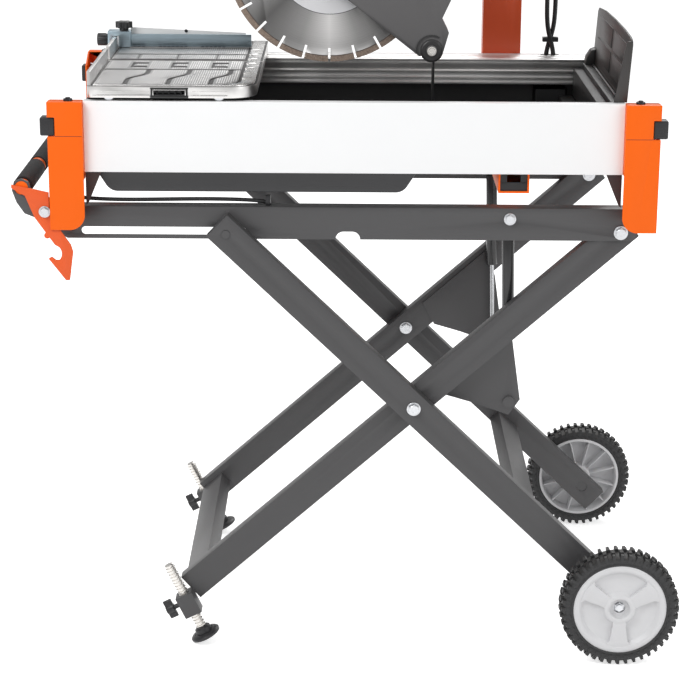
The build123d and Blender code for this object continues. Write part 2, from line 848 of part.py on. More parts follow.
# ---- Foot clamp knobs: winged screw bearing on the rod
knob_start = 26.0
knob_length = 14.0
with BuildPart() as foot_knob:
    with BuildSketch(knob_plane(foot_rod_radius + face_gap)) as screw:
        Circle(clamp_screw_radius)
    extrude(screw.sketch, amount=knob_start - foot_rod_radius)
    with BuildSketch(knob_plane(knob_start)) as wings:
        Circle(8)
        SlotOverall(34, 7, rotation=90)
    extrude(wings.sketch, amount=knob_length)
save_pair(foot_knob, "foot_knob")

# ---- Gas springs: cylinder with an upper eye, rod with a lower eye
spring_length = hypot(spring_low_x - spring_top_x, spring_top_z - spring_low_z)
spring_along = Vector(spring_low_x - spring_top_x, 0, spring_low_z - spring_top_z).normalized()
eye_radius = 10.0
eye_pin_radius = 5.0


def spring_plane(distance):
    """Plane square to a front spring, distance below its upper eye."""
    origin = Vector(spring_top_x, -spring_y, spring_top_z) + spring_along * distance
    return Plane(origin=origin, x_dir=(0, 1, 0), z_dir=spring_along)


with BuildPart() as gas_cylinder:
    rod_y(spring_top_x, spring_top_z, eye_radius, -spring_y - 8, -spring_y + 8)
    with BuildSketch(spring_plane(eye_radius - 2)) as neck:
        Circle(6)
    extrude(neck.sketch, amount=14)
    with BuildSketch(spring_plane(eye_radius + 10)) as barrel:
        Circle(cylinder_radius)
    extrude(barrel.sketch, amount=cylinder_length - eye_radius)
    with BuildSketch(spring_plane(eye_radius + 16)) as bore:
        Circle(spring_rod_radius + running_fit)
    extrude(bore.sketch, amount=cylinder_length, mode=Mode.SUBTRACT)
    rod_y(
        spring_top_x,
        spring_top_z,
        eye_pin_radius + running_fit,
        -spring_y - 9,
        -spring_y + 9,
        Mode.SUBTRACT,
    )
save_pair(gas_cylinder, "gas_cylinder")

rod_start = 150.0
eye_gap = 0.4
with BuildPart() as gas_rod:
    with BuildSketch(spring_plane(rod_start)) as rod:
        Circle(spring_rod_radius)
    extrude(rod.sketch, amount=spring_length - rod_start - 3)
    rod_y(
        spring_low_x,
        spring_low_z,
        eye_radius,
        -inner_layer_back_y + gusset_sheet + eye_gap,
        -spring_y + 9,
    )
save_pair(gas_rod, "gas_rod")

# ---- Frame bolts: leg pivots, upper spring pins, lever pivots and bracket screws
bracket_screw_x = panel_half_length + 24.0
with BuildPart() as frame_bolts:
    rod_y(leg_pivot_x, leg_pivot_z, pivot_pin_radius, -stand_rail_web_y - 1, -inner_layer_back_y + 6)
    rod_y(
        leg_pivot_x,
        leg_pivot_z,
        cross_bolt_head,
        -outer_layer_y + 0.5 - bolt_head_height,
        -stand_rail_web_y,
    )
    rod_y(
        leg_pivot_x,
        leg_pivot_z,
        cross_bolt_head,
        -inner_layer_back_y + face_gap,
        -inner_layer_back_y + 6,
    )
    rod_y(spring_top_x, spring_top_z, eye_pin_radius, -stand_rail_web_y, -spring_y + 8)
    rod_y(spring_top_x, spring_top_z, 9.0, -stand_rail_web_y - 5, -stand_rail_web_y)
    rod_y(spring_top_x, spring_top_z, 9.0, -spring_y + 8 + face_gap, -spring_y + 13)
    rod_y(
        lever_pivot_x,
        lever_pivot_z,
        lever_bolt_radius,
        -lever_front_y - lever_gap,
        -plate_front_y + plate_sheet,
    )
    rod_y(
        lever_pivot_x,
        lever_pivot_z,
        8.0,
        -lever_front_y - lever_gap - 4,
        -lever_front_y - lever_gap,
    )
    for end in (-1, 1):
        rod_z(end * bracket_screw_x, -body_half_width + 5, 6.0, bracket_top, bracket_top + 5)
    mirror(about=Plane.XZ)
save(frame_bolts, "frame_bolts")

# ---- Cross channel under the tray, open section with a flat top
channel_left = head_pivot_x - 36.5
channel_right = channel_left + 50.0
channel_front_y = -body_half_width + 15.0
channel_bottom = panel_bottom - 34.0
channel_sheet = 3.0
channel_lip = 14.0
column_front_y = body_half_width
column_depth = 40.0
column_back_y = column_front_y + column_depth
with BuildPart() as cross_channel:
    slab(channel_left, channel_right, channel_front_y, column_back_y, channel_bottom, panel_bottom)
    slab(
        channel_left + channel_sheet,
        channel_right - channel_sheet,
        channel_front_y - 1,
        column_back_y + 1,
        channel_bottom + channel_sheet,
        panel_bottom - channel_sheet,
        Mode.SUBTRACT,
    )
    slab(
        channel_left + channel_lip,
        channel_right - channel_lip,
        channel_front_y - 1,
        column_back_y + 1,
        panel_bottom - channel_sheet - 1,
        panel_bottom + 1,
        Mode.SUBTRACT,
    )
save(cross_channel, "cross_channel")

# ---- Column behind the table with the bearing of the head's shaft
column_width = 70.0
column_wall = 3.0
column_left = head_pivot_x - 33.0
column_right = column_left + column_width
column_top = head_pivot_z + 25.0
with BuildPart() as column:
    slab(column_left, column_right, column_front_y, column_back_y, panel_bottom, column_top)
    slab(
        column_left + column_wall,
        column_right - column_wall,
        column_front_y + column_wall,
        column_back_y - column_wall,
        panel_bottom - 1,
        column_top - 70,
        Mode.SUBTRACT,
    )
    rod_y(
        head_pivot_x,
        head_pivot_z,
        head_shaft_radius + running_fit,
        column_front_y - 1,
        column_back_y + 1,
        Mode.SUBTRACT,
    )
    fillet(column.edges().filter_by(Axis.Y).group_by(Axis.Z)[-1], 12)
save(column, "column")

hub_front_y = 112.0
hub_back_y = column_front_y - 2
with BuildPart() as head_shaft:
    rod_y(head_pivot_x, head_pivot_z, head_shaft_radius, hub_front_y - 8, column_back_y + 8)
    rod_y(
        head_pivot_x,
        head_pivot_z,
        head_shaft_radius + 5,
        hub_front_y - 8,
        hub_front_y - face_gap,
    )
    rod_y(head_pivot_x, head_pivot_z, head_shaft_radius + 5, column_back_y + face_gap, column_back_y + 8)
save(head_shaft, "head_shaft")

# ---- Cart: cast table, open below, with the blade's trough and a backstop
trough_wall = 4.0
trough_sheet = 2.0
corner_round = 45.0
lug_width = 6.0
lug_positions = (cart_left + 34.6, cart_right - 59.0)
lug_spans = [(low_y, low_y + lug_width) for low_y in (cart_front + 19.0, rail_front_y + 8.0)]
roller_z = panel_top + roller_radius
lug_half = 9.0
backstop_gap = 12.0
recess_left = cart_left + 101.6
recess_right = recess_left + 59.0
recess_low = cart_top - 17.0
recess_high = cart_top - 5.0
bed_groove_depth = 1.0
bed_groove_width = 2.5
bed_groove_y = guide_y - 6.0
with BuildPart() as cart_table:
    slab(cart_left, cart_right, cart_front, cart_back, cart_skirt_bottom, cart_top)
    upright = cart_table.edges().filter_by(Axis.Z)
    front_right = upright.sort_by(Axis.Y)[:2].sort_by(Axis.X)[-1]
    fillet(front_right, corner_round)
    others = cart_table.edges().filter_by(Axis.Z).sort_by(Axis.X)[:2]
    fillet(others, 8)
    under = cart_table.faces().sort_by(Axis.Z)[0]
    offset(amount=-cart_wall, openings=under)
    trough_half = slot_width / 2 + trough_wall
    slab(
        cart_left + 1,
        cart_right - 1,
        -trough_half,
        trough_half,
        slot_bottom - trough_sheet,
        cart_top - 1,
    )
    for position in lug_positions:
        for low_y, high_y in lug_spans:
            slab(
                position - lug_half,
                position + lug_half,
                low_y,
                high_y,
                cart_skirt_bottom,
                cart_top - 1,
            )
    slab(
        cart_left,
        cart_left + backstop_sheet,
        cart_front + 9,
        cart_back - 9,
        cart_top - 1,
        cart_top + backstop_height,
    )
    slab(
        cart_left - 1,
        cart_left + backstop_sheet + 1,
        -backstop_gap,
        backstop_gap,
        cart_top,
        cart_top + backstop_height + 1,
        Mode.SUBTRACT,
    )
    slab(
        cart_left - 1,
        cart_right + 1,
        -slot_width / 2,
        slot_width / 2,
        slot_bottom,
        cart_top + 1,
        Mode.SUBTRACT,
    )
    slab(
        cart_left + backstop_sheet,
        cart_right + 1,
        bed_groove_y,
        bed_groove_y + bed_groove_width,
        cart_top - bed_groove_depth,
        cart_top + 1,
        Mode.SUBTRACT,
    )
    for position in lug_positions:
        rod_y(
            position,
            roller_z,
            roller_shaft_radius + running_fit,
            lug_spans[0][0] - 1,
            lug_spans[1][1] + 1,
            Mode.SUBTRACT,
        )
    slab(
        recess_left,
        recess_right,
        cart_front - 1,
        cart_front + cart_wall + 1,
        recess_low,
        recess_high,
        Mode.SUBTRACT,
    )
save(cart_table, "cart_table")

recess_depth = 14.0
with BuildPart() as cart_handle:
    slab(
        recess_left + seat_gap,
        recess_right - seat_gap,
        cart_front - 1,
        cart_front + recess_depth,
        recess_low + seat_gap,
        recess_high - seat_gap,
    )
    slab(
        recess_left + 3,
        recess_right - 3,
        cart_front - 2,
        cart_front + recess_depth - 3,
        recess_low + 2.5,
        recess_high - 2.5,
        Mode.SUBTRACT,
    )
save(cart_handle, "cart_handle")

# ---- Cart rollers: a through shaft with a roller at each track
front_roller = (cart_front + 5.0, cart_front + 13.0)
back_roller = (rail_front_y + 22.0, rail_front_y + 36.0)
for position, side_name in zip(lug_positions, ("left", "right")):
    with BuildPart() as cart_roller:
        rod_y(position, roller_z, roller_shaft_radius, front_roller[0], back_roller[1])
        for y0, y1 in (front_roller, back_roller):
            rod_y(position, roller_z, roller_radius, y0, y1)
    save(cart_roller, "cart_roller_" + side_name)

# ---- Rip guide: fence with a clamp that bridges the backstop
guide_left = cart_left - 2.9
guide_right = cart_right - 26.0
guide_low = cart_top + 1.0
guide_high = cart_top + 22.5
guide_sheet = 4.0
clamp_low = cart_top + backstop_height + face_gap
clamp_front_y = guide_y - 12.0
clamp_back_y = guide_y + 20.0
side_knob_y = guide_y + 4.0
side_knob_z = cart_top + 12.5
star_knob_x = cart_left + 17.6
side_stud_radius = 4.0
with BuildPart() as rip_guide:
    slab(cart_left + 8, guide_right, guide_y, guide_y + guide_sheet, guide_low, guide_high)
    slab(cart_left + 8, guide_right, guide_y, clamp_back_y, guide_low, guide_low + 3)
    slab(guide_left - 8, star_knob_x + 12, clamp_front_y, clamp_back_y, clamp_low, clamp_low + 8)
    slab(guide_left - 8, guide_left, clamp_front_y, clamp_back_y, guide_low + 3, clamp_low + 8)
    slab(cart_left + 8, star_knob_x + 12, clamp_front_y, guide_y + 1, guide_low, clamp_low + 1)
    rod_x(
        side_knob_y,
        side_knob_z,
        side_stud_radius + running_fit,
        guide_left - 9,
        guide_left + 1,
        Mode.SUBTRACT,
    )
    rod_z(
        star_knob_x,
        guide_y - 4,
        side_stud_radius + running_fit,
        clamp_low - 8,
        clamp_low + 9,
        Mode.SUBTRACT,
    )
save(rip_guide, "rip_guide")

with BuildPart() as guide_side_knob:
    rod_x(side_knob_y, side_knob_z, side_stud_radius, guide_left - 15, cart_left - seat_gap)
    rod_x(side_knob_y, side_knob_z, 10.0, guide_left - 28, guide_left - 9)
save(guide_side_knob, "guide_side_knob")

with BuildPart() as guide_star_knob:
    rod_z(star_knob_x, guide_y - 4, side_stud_radius, clamp_low - 6, clamp_low + 12)
    rod_z(star_knob_x, guide_y - 4, 8.0, clamp_low + 9, clamp_low + 14)
    with BuildSketch(Plane.XY.offset(clamp_low + 14)) as star:
        with Locations((star_knob_x, guide_y - 4)):
            Circle(12)
            with PolarLocations(11, 6):
                Circle(4)
    extrude(star.sketch, amount=11)
save(guide_star_knob, "guide_star_knob")

# ---- Splash guard at the right end: leaning plate with a front lip
splash_low_x = panel_half_length + 3.5
splash_high_x = splash_low_x + 6.5
splash_top = bracket_top + 104.0
splash_sheet = 3.5
splash_front_y = -body_half_width + 13.0
splash_back_y = rail_front_y - 4.0
with BuildPart() as splash_guard:
    plate_outline = [
        (splash_low_x - splash_sheet, bracket_top + seat_gap),
        (splash_low_x, bracket_top + seat_gap),
        (splash_high_x, splash_top),
        (splash_high_x - splash_sheet, splash_top),
    ]
    outline_plate(plate_outline, splash_front_y, splash_back_y)
    lip_outline = [
        (splash_low_x - 10.5, bracket_top + seat_gap),
        (splash_low_x, bracket_top + seat_gap),
        (splash_high_x, splash_top),
        (splash_high_x - 16, splash_top - 2),
    ]
    outline_plate(lip_outline, splash_front_y, splash_front_y + splash_sheet)
    outline_plate(lip_outline, splash_back_y - splash_sheet, splash_back_y)
    slab(
        splash_low_x - splash_sheet,
        splash_low_x,
        -bracket_front_y + bracket_depth + 1,
        splash_back_y,
        panel_bottom + 20,
        bracket_top + 1,
    )
save(splash_guard, "splash_guard")

# ---- Blade: steel core with gullets and a diamond segment on each tooth
core_radius = blade_radius - segment_height
gullet_depth = 13.0
gullet_width = 4.0
blade_y = blade_thickness / 2
pitch = 360 / segment_count
with BuildPart() as blade:
    with BuildSketch(Plane.XZ.offset(-blade_y)) as core:
        Circle(core_radius)
        Circle(arbor_radius + running_fit, mode=Mode.SUBTRACT)
        with PolarLocations(core_radius, segment_count):
            Rectangle(2 * gullet_depth, gullet_width, mode=Mode.SUBTRACT)
    extrude(core.sketch, amount=blade_thickness)
    with BuildSketch(Plane.XZ.offset(-segment_thickness / 2)) as segments:
        Circle(blade_radius)
        Circle(core_radius - 0.5, mode=Mode.SUBTRACT)
        with PolarLocations(core_radius, segment_count):
            Rectangle(4 * segment_height, gullet_width, mode=Mode.SUBTRACT)
    extrude(segments.sketch, amount=segment_thickness)
with BuildPart() as placed_blade:
    add(blade.part.moved(Location((blade_x, 0, blade_z))))
save(placed_blade, "blade")

# ---- Spindle: arbor with two flanges and a nut
flange_sheet = 8.0
nut_start = blade_y + flange_sheet
with BuildPart() as spindle:
    rod_y(blade_x, blade_z, arbor_radius, -nut_start - 14, motor_front_y - 4)
    rod_y(blade_x, blade_z, flange_radius, -nut_start, -blade_y)
    rod_y(blade_x, blade_z, flange_radius, blade_y, nut_start)
    with BuildSketch(side_plane(-nut_start)) as arbor_nut:
        with Locations((blade_x, blade_z)):
            RegularPolygon(17, 6, major_radius=False)
    extrude(arbor_nut.sketch, amount=11)
save(spindle, "spindle")

# ---- Blade guard: hood over the blade, open below and at its lower left edge


def from_arbor(along, up):
    """Point in x and z beside and above the blade's centre."""
    return (blade_x + along, blade_z + up)


guard_edge = [
    from_arbor(27.3, -64.0),
    from_arbor(152.3, -161.0),
    from_arbor(193.3, -153.0),
    from_arbor(202.3, -121.0),
    from_arbor(190.3, -97.5),
    from_arbor(206.3, -63.0),
]
nose_space = [
    from_arbor(102.3, -55.0),
    from_arbor(102.3, -175.0),
    from_arbor(190.3, -175.0),
    from_arbor(198.8, -121.0),
    from_arbor(186.8, -97.5),
    from_arbor(192.3, -75.0),
]
nose_bolt_x, nose_bolt_z = from_arbor(173.3, -151.0)
guard_left_angle = 172.0
guard_left = (
    blade_x + guard_radius * cos(radians(guard_left_angle)),
    blade_z + guard_radius * sin(radians(guard_left_angle)),
)
guard_top = (blade_x, blade_z + guard_radius)
guard_hub_edge = from_arbor(-45.7, -7.0)
flap_x = blade_x + 175.8
flap_sheet = 3.0
with BuildPart() as blade_guard:
    with BuildSketch(side_plane(guard_half_width)) as hood:
        with BuildLine():
            Polyline(guard_left, guard_hub_edge, *guard_edge)
            ThreePointArc(guard_edge[-1], guard_top, guard_left)
        make_face()
    extrude(hood.sketch, amount=2 * guard_half_width)
    inner_half = guard_half_width - guard_wall
    with BuildSketch(side_plane(inner_half)) as hood_space:
        with Locations((blade_x, blade_z)):
            Circle(guard_radius - guard_wall)
        with BuildLine():
            Polyline(*nose_space, close=True)
        make_face()
    extrude(hood_space.sketch, amount=2 * inner_half, mode=Mode.SUBTRACT)
    rod_y(blade_x, blade_z, flange_radius + 3, inner_half - 1, guard_half_width + 1, Mode.SUBTRACT)
    rod_y(nose_bolt_x, nose_bolt_z, 17.0, -guard_half_width - 4, -guard_half_width)
    rod_y(nose_bolt_x, nose_bolt_z, 9.0, -guard_half_width - 9, -guard_half_width)
    slab(
        flap_x + flap_sheet + seat_gap,
        flap_x + flap_sheet + 6,
        -inner_half - 1,
        inner_half + 1,
        nose_bolt_z,
        nose_bolt_z + 20,
    )
save(blade_guard, "blade_guard")

flap_bottom = panel_top - 41.0
with BuildPart() as splash_flap:
    slab(flap_x, flap_x + flap_sheet, -inner_half + 2, inner_half - 2, flap_bottom, nose_bolt_z + 18)
save(splash_flap, "splash_flap")

# ---- Motor: body with a front flange and a foot, and a fan cover at the back
foot_face_x = blade_x + 72.3
foot_half = 50.0
with BuildPart() as motor:
    rod_y(blade_x, blade_z, motor_radius, motor_front_y, motor_back_y)
    rod_y(blade_x, blade_z, 58.0, guard_half_width, motor_front_y)
    slab(
        blade_x,
        foot_face_x,
        motor_front_y + 20,
        motor_back_y - 15,
        blade_z - foot_half,
        blade_z + foot_half,
    )
    rod_y(blade_x, blade_z, flange_radius, guard_half_width - 1, guard_half_width + 14, Mode.SUBTRACT)
    rod_y(
        blade_x,
        blade_z,
        arbor_radius + running_fit,
        guard_half_width,
        motor_front_y - 3,
        Mode.SUBTRACT,
    )
save(motor, "motor")

with BuildPart() as motor_cover:
    rod_y(blade_x, blade_z, motor_radius + 4, motor_back_y, motor_back_y + motor_cover_depth)
    fillet(motor_cover.edges().sort_by(Axis.Y)[-1], 10)
    rod_y(
        blade_x,
        blade_z,
        motor_radius - 2,
        motor_back_y - 1,
        motor_back_y + motor_cover_depth - 4,
        Mode.SUBTRACT,
    )
save(motor_cover, "motor_cover")

# ---- Head arm: hub on the shaft, beam and motor plate
arm_front_y = 130.0
arm_back_y = 200.0
arm_wall = 4.0
arm_hub_radius = 27.0
motor_plate = 8.0
with BuildPart() as head_arm:
    rod_y(head_pivot_x, head_pivot_z, arm_hub_radius, hub_front_y, hub_back_y)
    arm_outline = [
        (head_pivot_x + 8, head_pivot_z - 24),
        (head_pivot_x - 8, head_pivot_z + 25),
        (foot_face_x, blade_z + foot_half + 42),
        (foot_face_x, blade_z - foot_half),
        (foot_face_x + motor_plate + 14, blade_z - foot_half),
    ]
    outline_plate(arm_outline, arm_front_y, arm_back_y)
    with BuildSketch(side_plane(arm_back_y - arm_wall)) as arm_space:
        with BuildLine():
            Polyline(*arm_outline, close=True)
        make_face()
        offset(amount=-arm_wall)
    extrude(arm_space.sketch, amount=arm_back_y - arm_front_y - 2 * arm_wall, mode=Mode.SUBTRACT)
    rod_y(head_pivot_x, head_pivot_z, arm_hub_radius, hub_front_y, hub_back_y)
    slab(
        foot_face_x,
        foot_face_x + motor_plate,
        motor_front_y + 20,
        motor_back_y - 15,
        blade_z - foot_half - 4,
        blade_z + foot_half + 4,
    )
    rod_y(
        head_pivot_x,
        head_pivot_z,
        head_shaft_radius + running_fit,
        hub_front_y - 1,
        hub_back_y + 1,
        Mode.SUBTRACT,
    )
    rod_z(
        head_pivot_x,
        hub_back_y - 30,
        5 + running_fit,
        head_pivot_z + head_shaft_radius - 2,
        head_pivot_z + arm_hub_radius + 12,
        Mode.SUBTRACT,
    )
save(head_arm, "head_arm")

with BuildPart() as head_lock_knob:
    lock_low = head_pivot_z + head_shaft_radius + seat_gap
    rod_z(head_pivot_x, hub_back_y - 30, 5.0, lock_low, lock_low + 26)
    rod_z(head_pivot_x, hub_back_y - 30, 17.0, lock_low + 22, lock_low + 42)
    with Locations((head_pivot_x, hub_back_y - 30, lock_low + 32)):
        Box(54, 12, 14)
save(head_lock_knob, "head_lock_knob")

# ---- Head handle: grip across the front of the guard on two arms
head_grip_x = blade_x - guard_radius - 45
head_grip_z = blade_z + 90.0
head_grip_half = 48.0
with BuildPart() as head_handle:
    rod_y(head_grip_x, head_grip_z, 14.0, -head_grip_half, head_grip_half)
    guard_side_x = blade_x - guard_radius * cos(radians(20))
    for y0, y1 in ((-guard_half_width - 5, -guard_half_width), (guard_half_width, guard_half_width + 5)):
        arm_outline = [
            (head_grip_x - 12, head_grip_z - 10),
            (head_grip_x - 12, head_grip_z + 14),
            (guard_side_x + 38, head_grip_z + 22),
            (guard_side_x + 38, head_grip_z - 18),
        ]
        outline_plate(arm_outline, y0, y1)
save(head_handle, "head_handle")

# ---- Switch box on the column, with its inlet and two push buttons
box_left = column_right
box_right = box_left + 92.0
box_front_y = column_front_y - 32.0
box_back_y = column_back_y
box_low = head_pivot_z - 120.0
box_high = head_pivot_z - 10.0
button_radius = 11.0
button_travel = 4.0
button_z = box_high - 40.0
button_margin = 26.0
button_recess = 12.0
inlet_z = box_low + 40.0
inlet_radius = 26.0
inlet_bore = 21.0
inlet_length = 22.0
with BuildPart() as switch_box:
    slab(box_left, box_right, box_front_y, box_back_y, box_low, box_high)
    fillet(switch_box.edges().filter_by(Axis.Y), 6)
    for x in (box_left + button_margin, box_right - button_margin):
        rod_y(
            x,
            button_z,
            button_radius + seat_gap,
            box_front_y - 1,
            box_front_y + button_recess,
            Mode.SUBTRACT,
        )
    inlet_y = (box_front_y + box_back_y) / 2
    rod_x(inlet_y, inlet_z, inlet_radius, box_right - 1, box_right + inlet_length)
    rod_x(inlet_y, inlet_z, inlet_bore, box_right + 4, box_right + inlet_length + 1, Mode.SUBTRACT)
save(switch_box, "switch_box")
for x, name in ((box_left + button_margin, "start_button"), (box_right - button_margin, "stop_button")):
    with BuildPart() as button:
        button_back_y = box_front_y + button_recess - button_travel - face_gap
        rod_y(x, button_z, button_radius, box_front_y - 6, button_back_y)
    save(button, name)

# ---- Pump in the tray, with its cable and hose hanging from the switch box
pump_top = panel_top - 56.0
pump_front_y = rail_front_y + 15.0
pump_back_y = tray_half_width - tray_wall - seat_gap
with BuildPart() as water_pump:
    slab(pump_left, pump_right, pump_front_y, pump_back_y, tray_floor + tray_wall, pump_top)
    fillet(water_pump.edges().filter_by(Axis.Z), 4)
save(water_pump, "water_pump")

with BuildPart() as pump_lines:
    rod_z(pump_cable_x, pump_cable_y, pump_cable_radius, pump_top, box_low)
    rod_z(pump_hose_x, pump_cable_y, pump_hose_radius, pump_top, box_low)
save(pump_lines, "pump_lines")

# ---- Release cable along the front stand rail, and the clips that hold the lines
cable_radius = 3.5
cable_y = -stand_rail_web_y + 17.5
cable_z = stand_rail_top + cable_radius + seat_gap
cable_left = -bracket_outer_x + bracket_sheet
clip_x = slot_right_x + 35.0
with BuildPart() as release_cable:
    rod_x(cable_y, cable_z, cable_radius, cable_left, clip_x)
save(release_cable, "release_cable")

clip_half = 4.0
tie_height = 24.0
tie_z = panel_top + tie_height
with BuildPart() as line_clips:
    slab(
        clip_x - clip_half,
        clip_x + clip_half,
        cable_y - 7,
        cable_y + 7,
        stand_rail_top,
        stand_rail_top + 16,
    )
    rod_x(cable_y, cable_z, cable_radius + running_fit, clip_x - clip_half - 1, clip_x + 1, Mode.SUBTRACT)
    slab(
        pump_cable_x - pump_cable_radius - 2,
        pump_hose_x + pump_hose_radius + 2,
        pump_cable_y - pump_hose_radius - 1.5,
        pump_cable_y + pump_hose_radius + 1.5,
        tie_z,
        tie_z + 8,
    )
    for x, radius in ((pump_cable_x, pump_cable_radius), (pump_hose_x, pump_hose_radius)):
        rod_z(x, pump_cable_y, radius + running_fit, tie_z - 1, tie_z + 9, Mode.SUBTRACT)
save(line_clips, "line_clips")
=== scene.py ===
import json
from math import atan2, cos, pi, radians, sin, tanh

import bmesh
import bpy
from mathutils import Matrix, Vector


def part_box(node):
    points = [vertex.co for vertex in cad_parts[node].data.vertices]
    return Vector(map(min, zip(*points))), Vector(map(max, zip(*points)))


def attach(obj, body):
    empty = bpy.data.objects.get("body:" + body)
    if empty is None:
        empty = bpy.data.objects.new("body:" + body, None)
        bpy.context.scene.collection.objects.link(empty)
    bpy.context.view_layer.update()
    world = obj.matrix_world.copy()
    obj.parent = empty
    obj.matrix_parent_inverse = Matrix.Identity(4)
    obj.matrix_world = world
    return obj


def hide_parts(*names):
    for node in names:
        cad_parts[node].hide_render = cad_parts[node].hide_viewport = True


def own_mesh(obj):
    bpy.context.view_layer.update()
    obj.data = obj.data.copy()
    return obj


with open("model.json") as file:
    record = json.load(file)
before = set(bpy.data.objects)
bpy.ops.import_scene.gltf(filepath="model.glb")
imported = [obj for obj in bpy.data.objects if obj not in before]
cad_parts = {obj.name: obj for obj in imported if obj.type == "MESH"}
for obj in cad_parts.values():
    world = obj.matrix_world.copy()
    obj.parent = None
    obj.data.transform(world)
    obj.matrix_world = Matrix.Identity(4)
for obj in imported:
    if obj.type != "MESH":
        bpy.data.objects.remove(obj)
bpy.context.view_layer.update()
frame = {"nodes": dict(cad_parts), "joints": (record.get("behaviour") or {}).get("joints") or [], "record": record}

# ---- Standing place, lamps and view.
# A pale seamless floor, three soft lamps and a long lens that looks down at the saw
# from in front of its table.
floor_colour = (0.93, 0.93, 0.93, 1)
floor_glow = 0.62
floor_half = 30
sky_on_metal = 0.55
view_place = Vector((-0.0123, -3.572, 1.4943))
view_pitch = radians(90 - 16.35)
view_roll = radians(-0.12)
machine_lean = radians(-0.47)
lens = 107.7


def feed(tree, socket, value):
    """Give a node's socket a plain value, or link another node's output to it."""
    if isinstance(value, bpy.types.NodeSocket):
        tree.links.new(value, socket)
    else:
        socket.default_value = value


def maths(tree, operation, *values, kind="ShaderNodeMath"):
    """Output of a maths node that is fed with plain values or other outputs."""
    node = tree.nodes.new(kind)
    node.operation = operation
    for socket, value in zip(node.inputs, values):
        feed(tree, socket, value)
    return node.outputs[0]


def stage_finish():
    """White to the eye and to mirrors, pale grey to the light that falls on it."""
    finish = bpy.data.materials.new("studio_floor")
    finish.use_nodes = True
    tree = finish.node_tree
    tree.nodes.clear()
    out = tree.nodes.new("ShaderNodeOutputMaterial")
    matt = tree.nodes.new("ShaderNodeBsdfDiffuse")
    matt.inputs["Color"].default_value = floor_colour
    glow = tree.nodes.new("ShaderNodeEmission")
    glow.inputs["Color"].default_value = (1, 1, 1, 1)
    glow.inputs["Strength"].default_value = floor_glow
    ray = tree.nodes.new("ShaderNodeLightPath").outputs
    seen = maths(tree, "MAXIMUM", ray["Is Camera Ray"], ray["Is Glossy Ray"])
    lift = tree.nodes.new("ShaderNodeAddShader")
    feed(tree, lift.inputs[0], matt.outputs[0])
    feed(tree, lift.inputs[1], glow.outputs[0])
    pick = tree.nodes.new("ShaderNodeMixShader")
    for socket, value in zip(pick.inputs, (seen, matt.outputs[0], lift.outputs[0])):
        feed(tree, socket, value)
    feed(tree, out.inputs[0], pick.outputs[0])
    return finish


floor_mesh = bmesh.new()
bmesh.ops.create_grid(floor_mesh, x_segments=1, y_segments=1, size=floor_half)
floor_data = bpy.data.meshes.new("floor")
floor_mesh.to_mesh(floor_data)
floor_mesh.free()
floor = bpy.data.objects.new("floor", floor_data)
floor.data.materials.append(stage_finish())
bpy.context.scene.collection.objects.link(floor)

world = bpy.data.worlds.new("studio")
world.use_nodes = True
bpy.context.scene.world = world
sky = world.node_tree.nodes["Background"]
sky.inputs["Color"].default_value = (1, 1, 1, 1)
ray = world.node_tree.nodes.new("ShaderNodeLightPath").outputs
level = world.node_tree.nodes.new("ShaderNodeMapRange")
level.inputs["To Min"].default_value = sky_on_metal
level.inputs["To Max"].default_value = 1.0
seen = maths(world.node_tree, "MAXIMUM", ray["Is Camera Ray"], ray["Is Transmission Ray"])
feed(world.node_tree, level.inputs["Value"], seen)
feed(world.node_tree, sky.inputs["Strength"], level.outputs[0])


def soft_lamp(name, place, target, size, power):
    """Square softbox facing a point."""
    lamp = bpy.data.lights.new(name, "AREA")
    lamp.shape = "SQUARE"
    lamp.size = size
    lamp.energy = power
    holder = bpy.data.objects.new(name, lamp)
    holder.location = place
    holder.rotation_euler = (Vector(target) - Vector(place)).to_track_quat("-Z", "Y").to_euler()
    bpy.context.scene.collection.objects.link(holder)


soft_lamp("key", (-2.2, -2.6, 3.4), (0, 0, 0.7), 1.8, 78)
soft_lamp("fill", (2.8, -2.4, 2.2), (0, 0, 0.6), 2.2, 30)
soft_lamp("back", (0.6, 2.8, 3.2), (0, 0, 0.8), 2.4, 60)

camera_data = bpy.data.cameras.new("view")
camera_data.lens = lens
camera_data.sensor_width = 36
camera = bpy.data.objects.new("view", camera_data)
turn = Matrix.Rotation(machine_lean, 4, "Y") @ Matrix.Rotation(view_pitch, 4, "X")
camera.matrix_world = Matrix.Translation(view_place) @ turn @ Matrix.Rotation(view_roll, 4, "Z")
bpy.context.scene.collection.objects.link(camera)
bpy.context.scene.camera = camera
bpy.context.scene.view_settings.view_transform = "Standard"

# ---- Stand rails.
# Two pressed steel angles, powder coated in dark grey, each with a long slot for the
# outer legs' pins. Their sheet edges are rounded by the coating.
stand_colour = (0.062, 0.061, 0.063, 1)
dust_colour = (0.55, 0.53, 0.50, 1)


def finish_group(name, takes):
    """New node group with its inputs and the three outputs that every finish has."""
    group = bpy.data.node_groups.new(name, "ShaderNodeTree")
    for label, kind in takes:
        group.interface.new_socket(label, in_out="INPUT", socket_type="NodeSocket" + kind)
    for label, kind in (("Colour", "Color"), ("Roughness", "Float"), ("Height", "Float")):
        group.interface.new_socket(label, in_out="OUTPUT", socket_type="NodeSocket" + kind)
    given = group.nodes.new("NodeGroupInput").outputs
    result = group.nodes.new("NodeGroupOutput").inputs
    place = group.nodes.new("ShaderNodeTexCoord").outputs["Object"]
    return group, given, result, place


def noise(tree, place, scale, detail):
    """Strength of a soft noise at a place."""
    node = tree.nodes.new("ShaderNodeTexNoise")
    node.inputs["Detail"].default_value = detail
    feed(tree, node.inputs["Vector"], place)
    feed(tree, node.inputs["Scale"], scale)
    return node.outputs["Fac"]


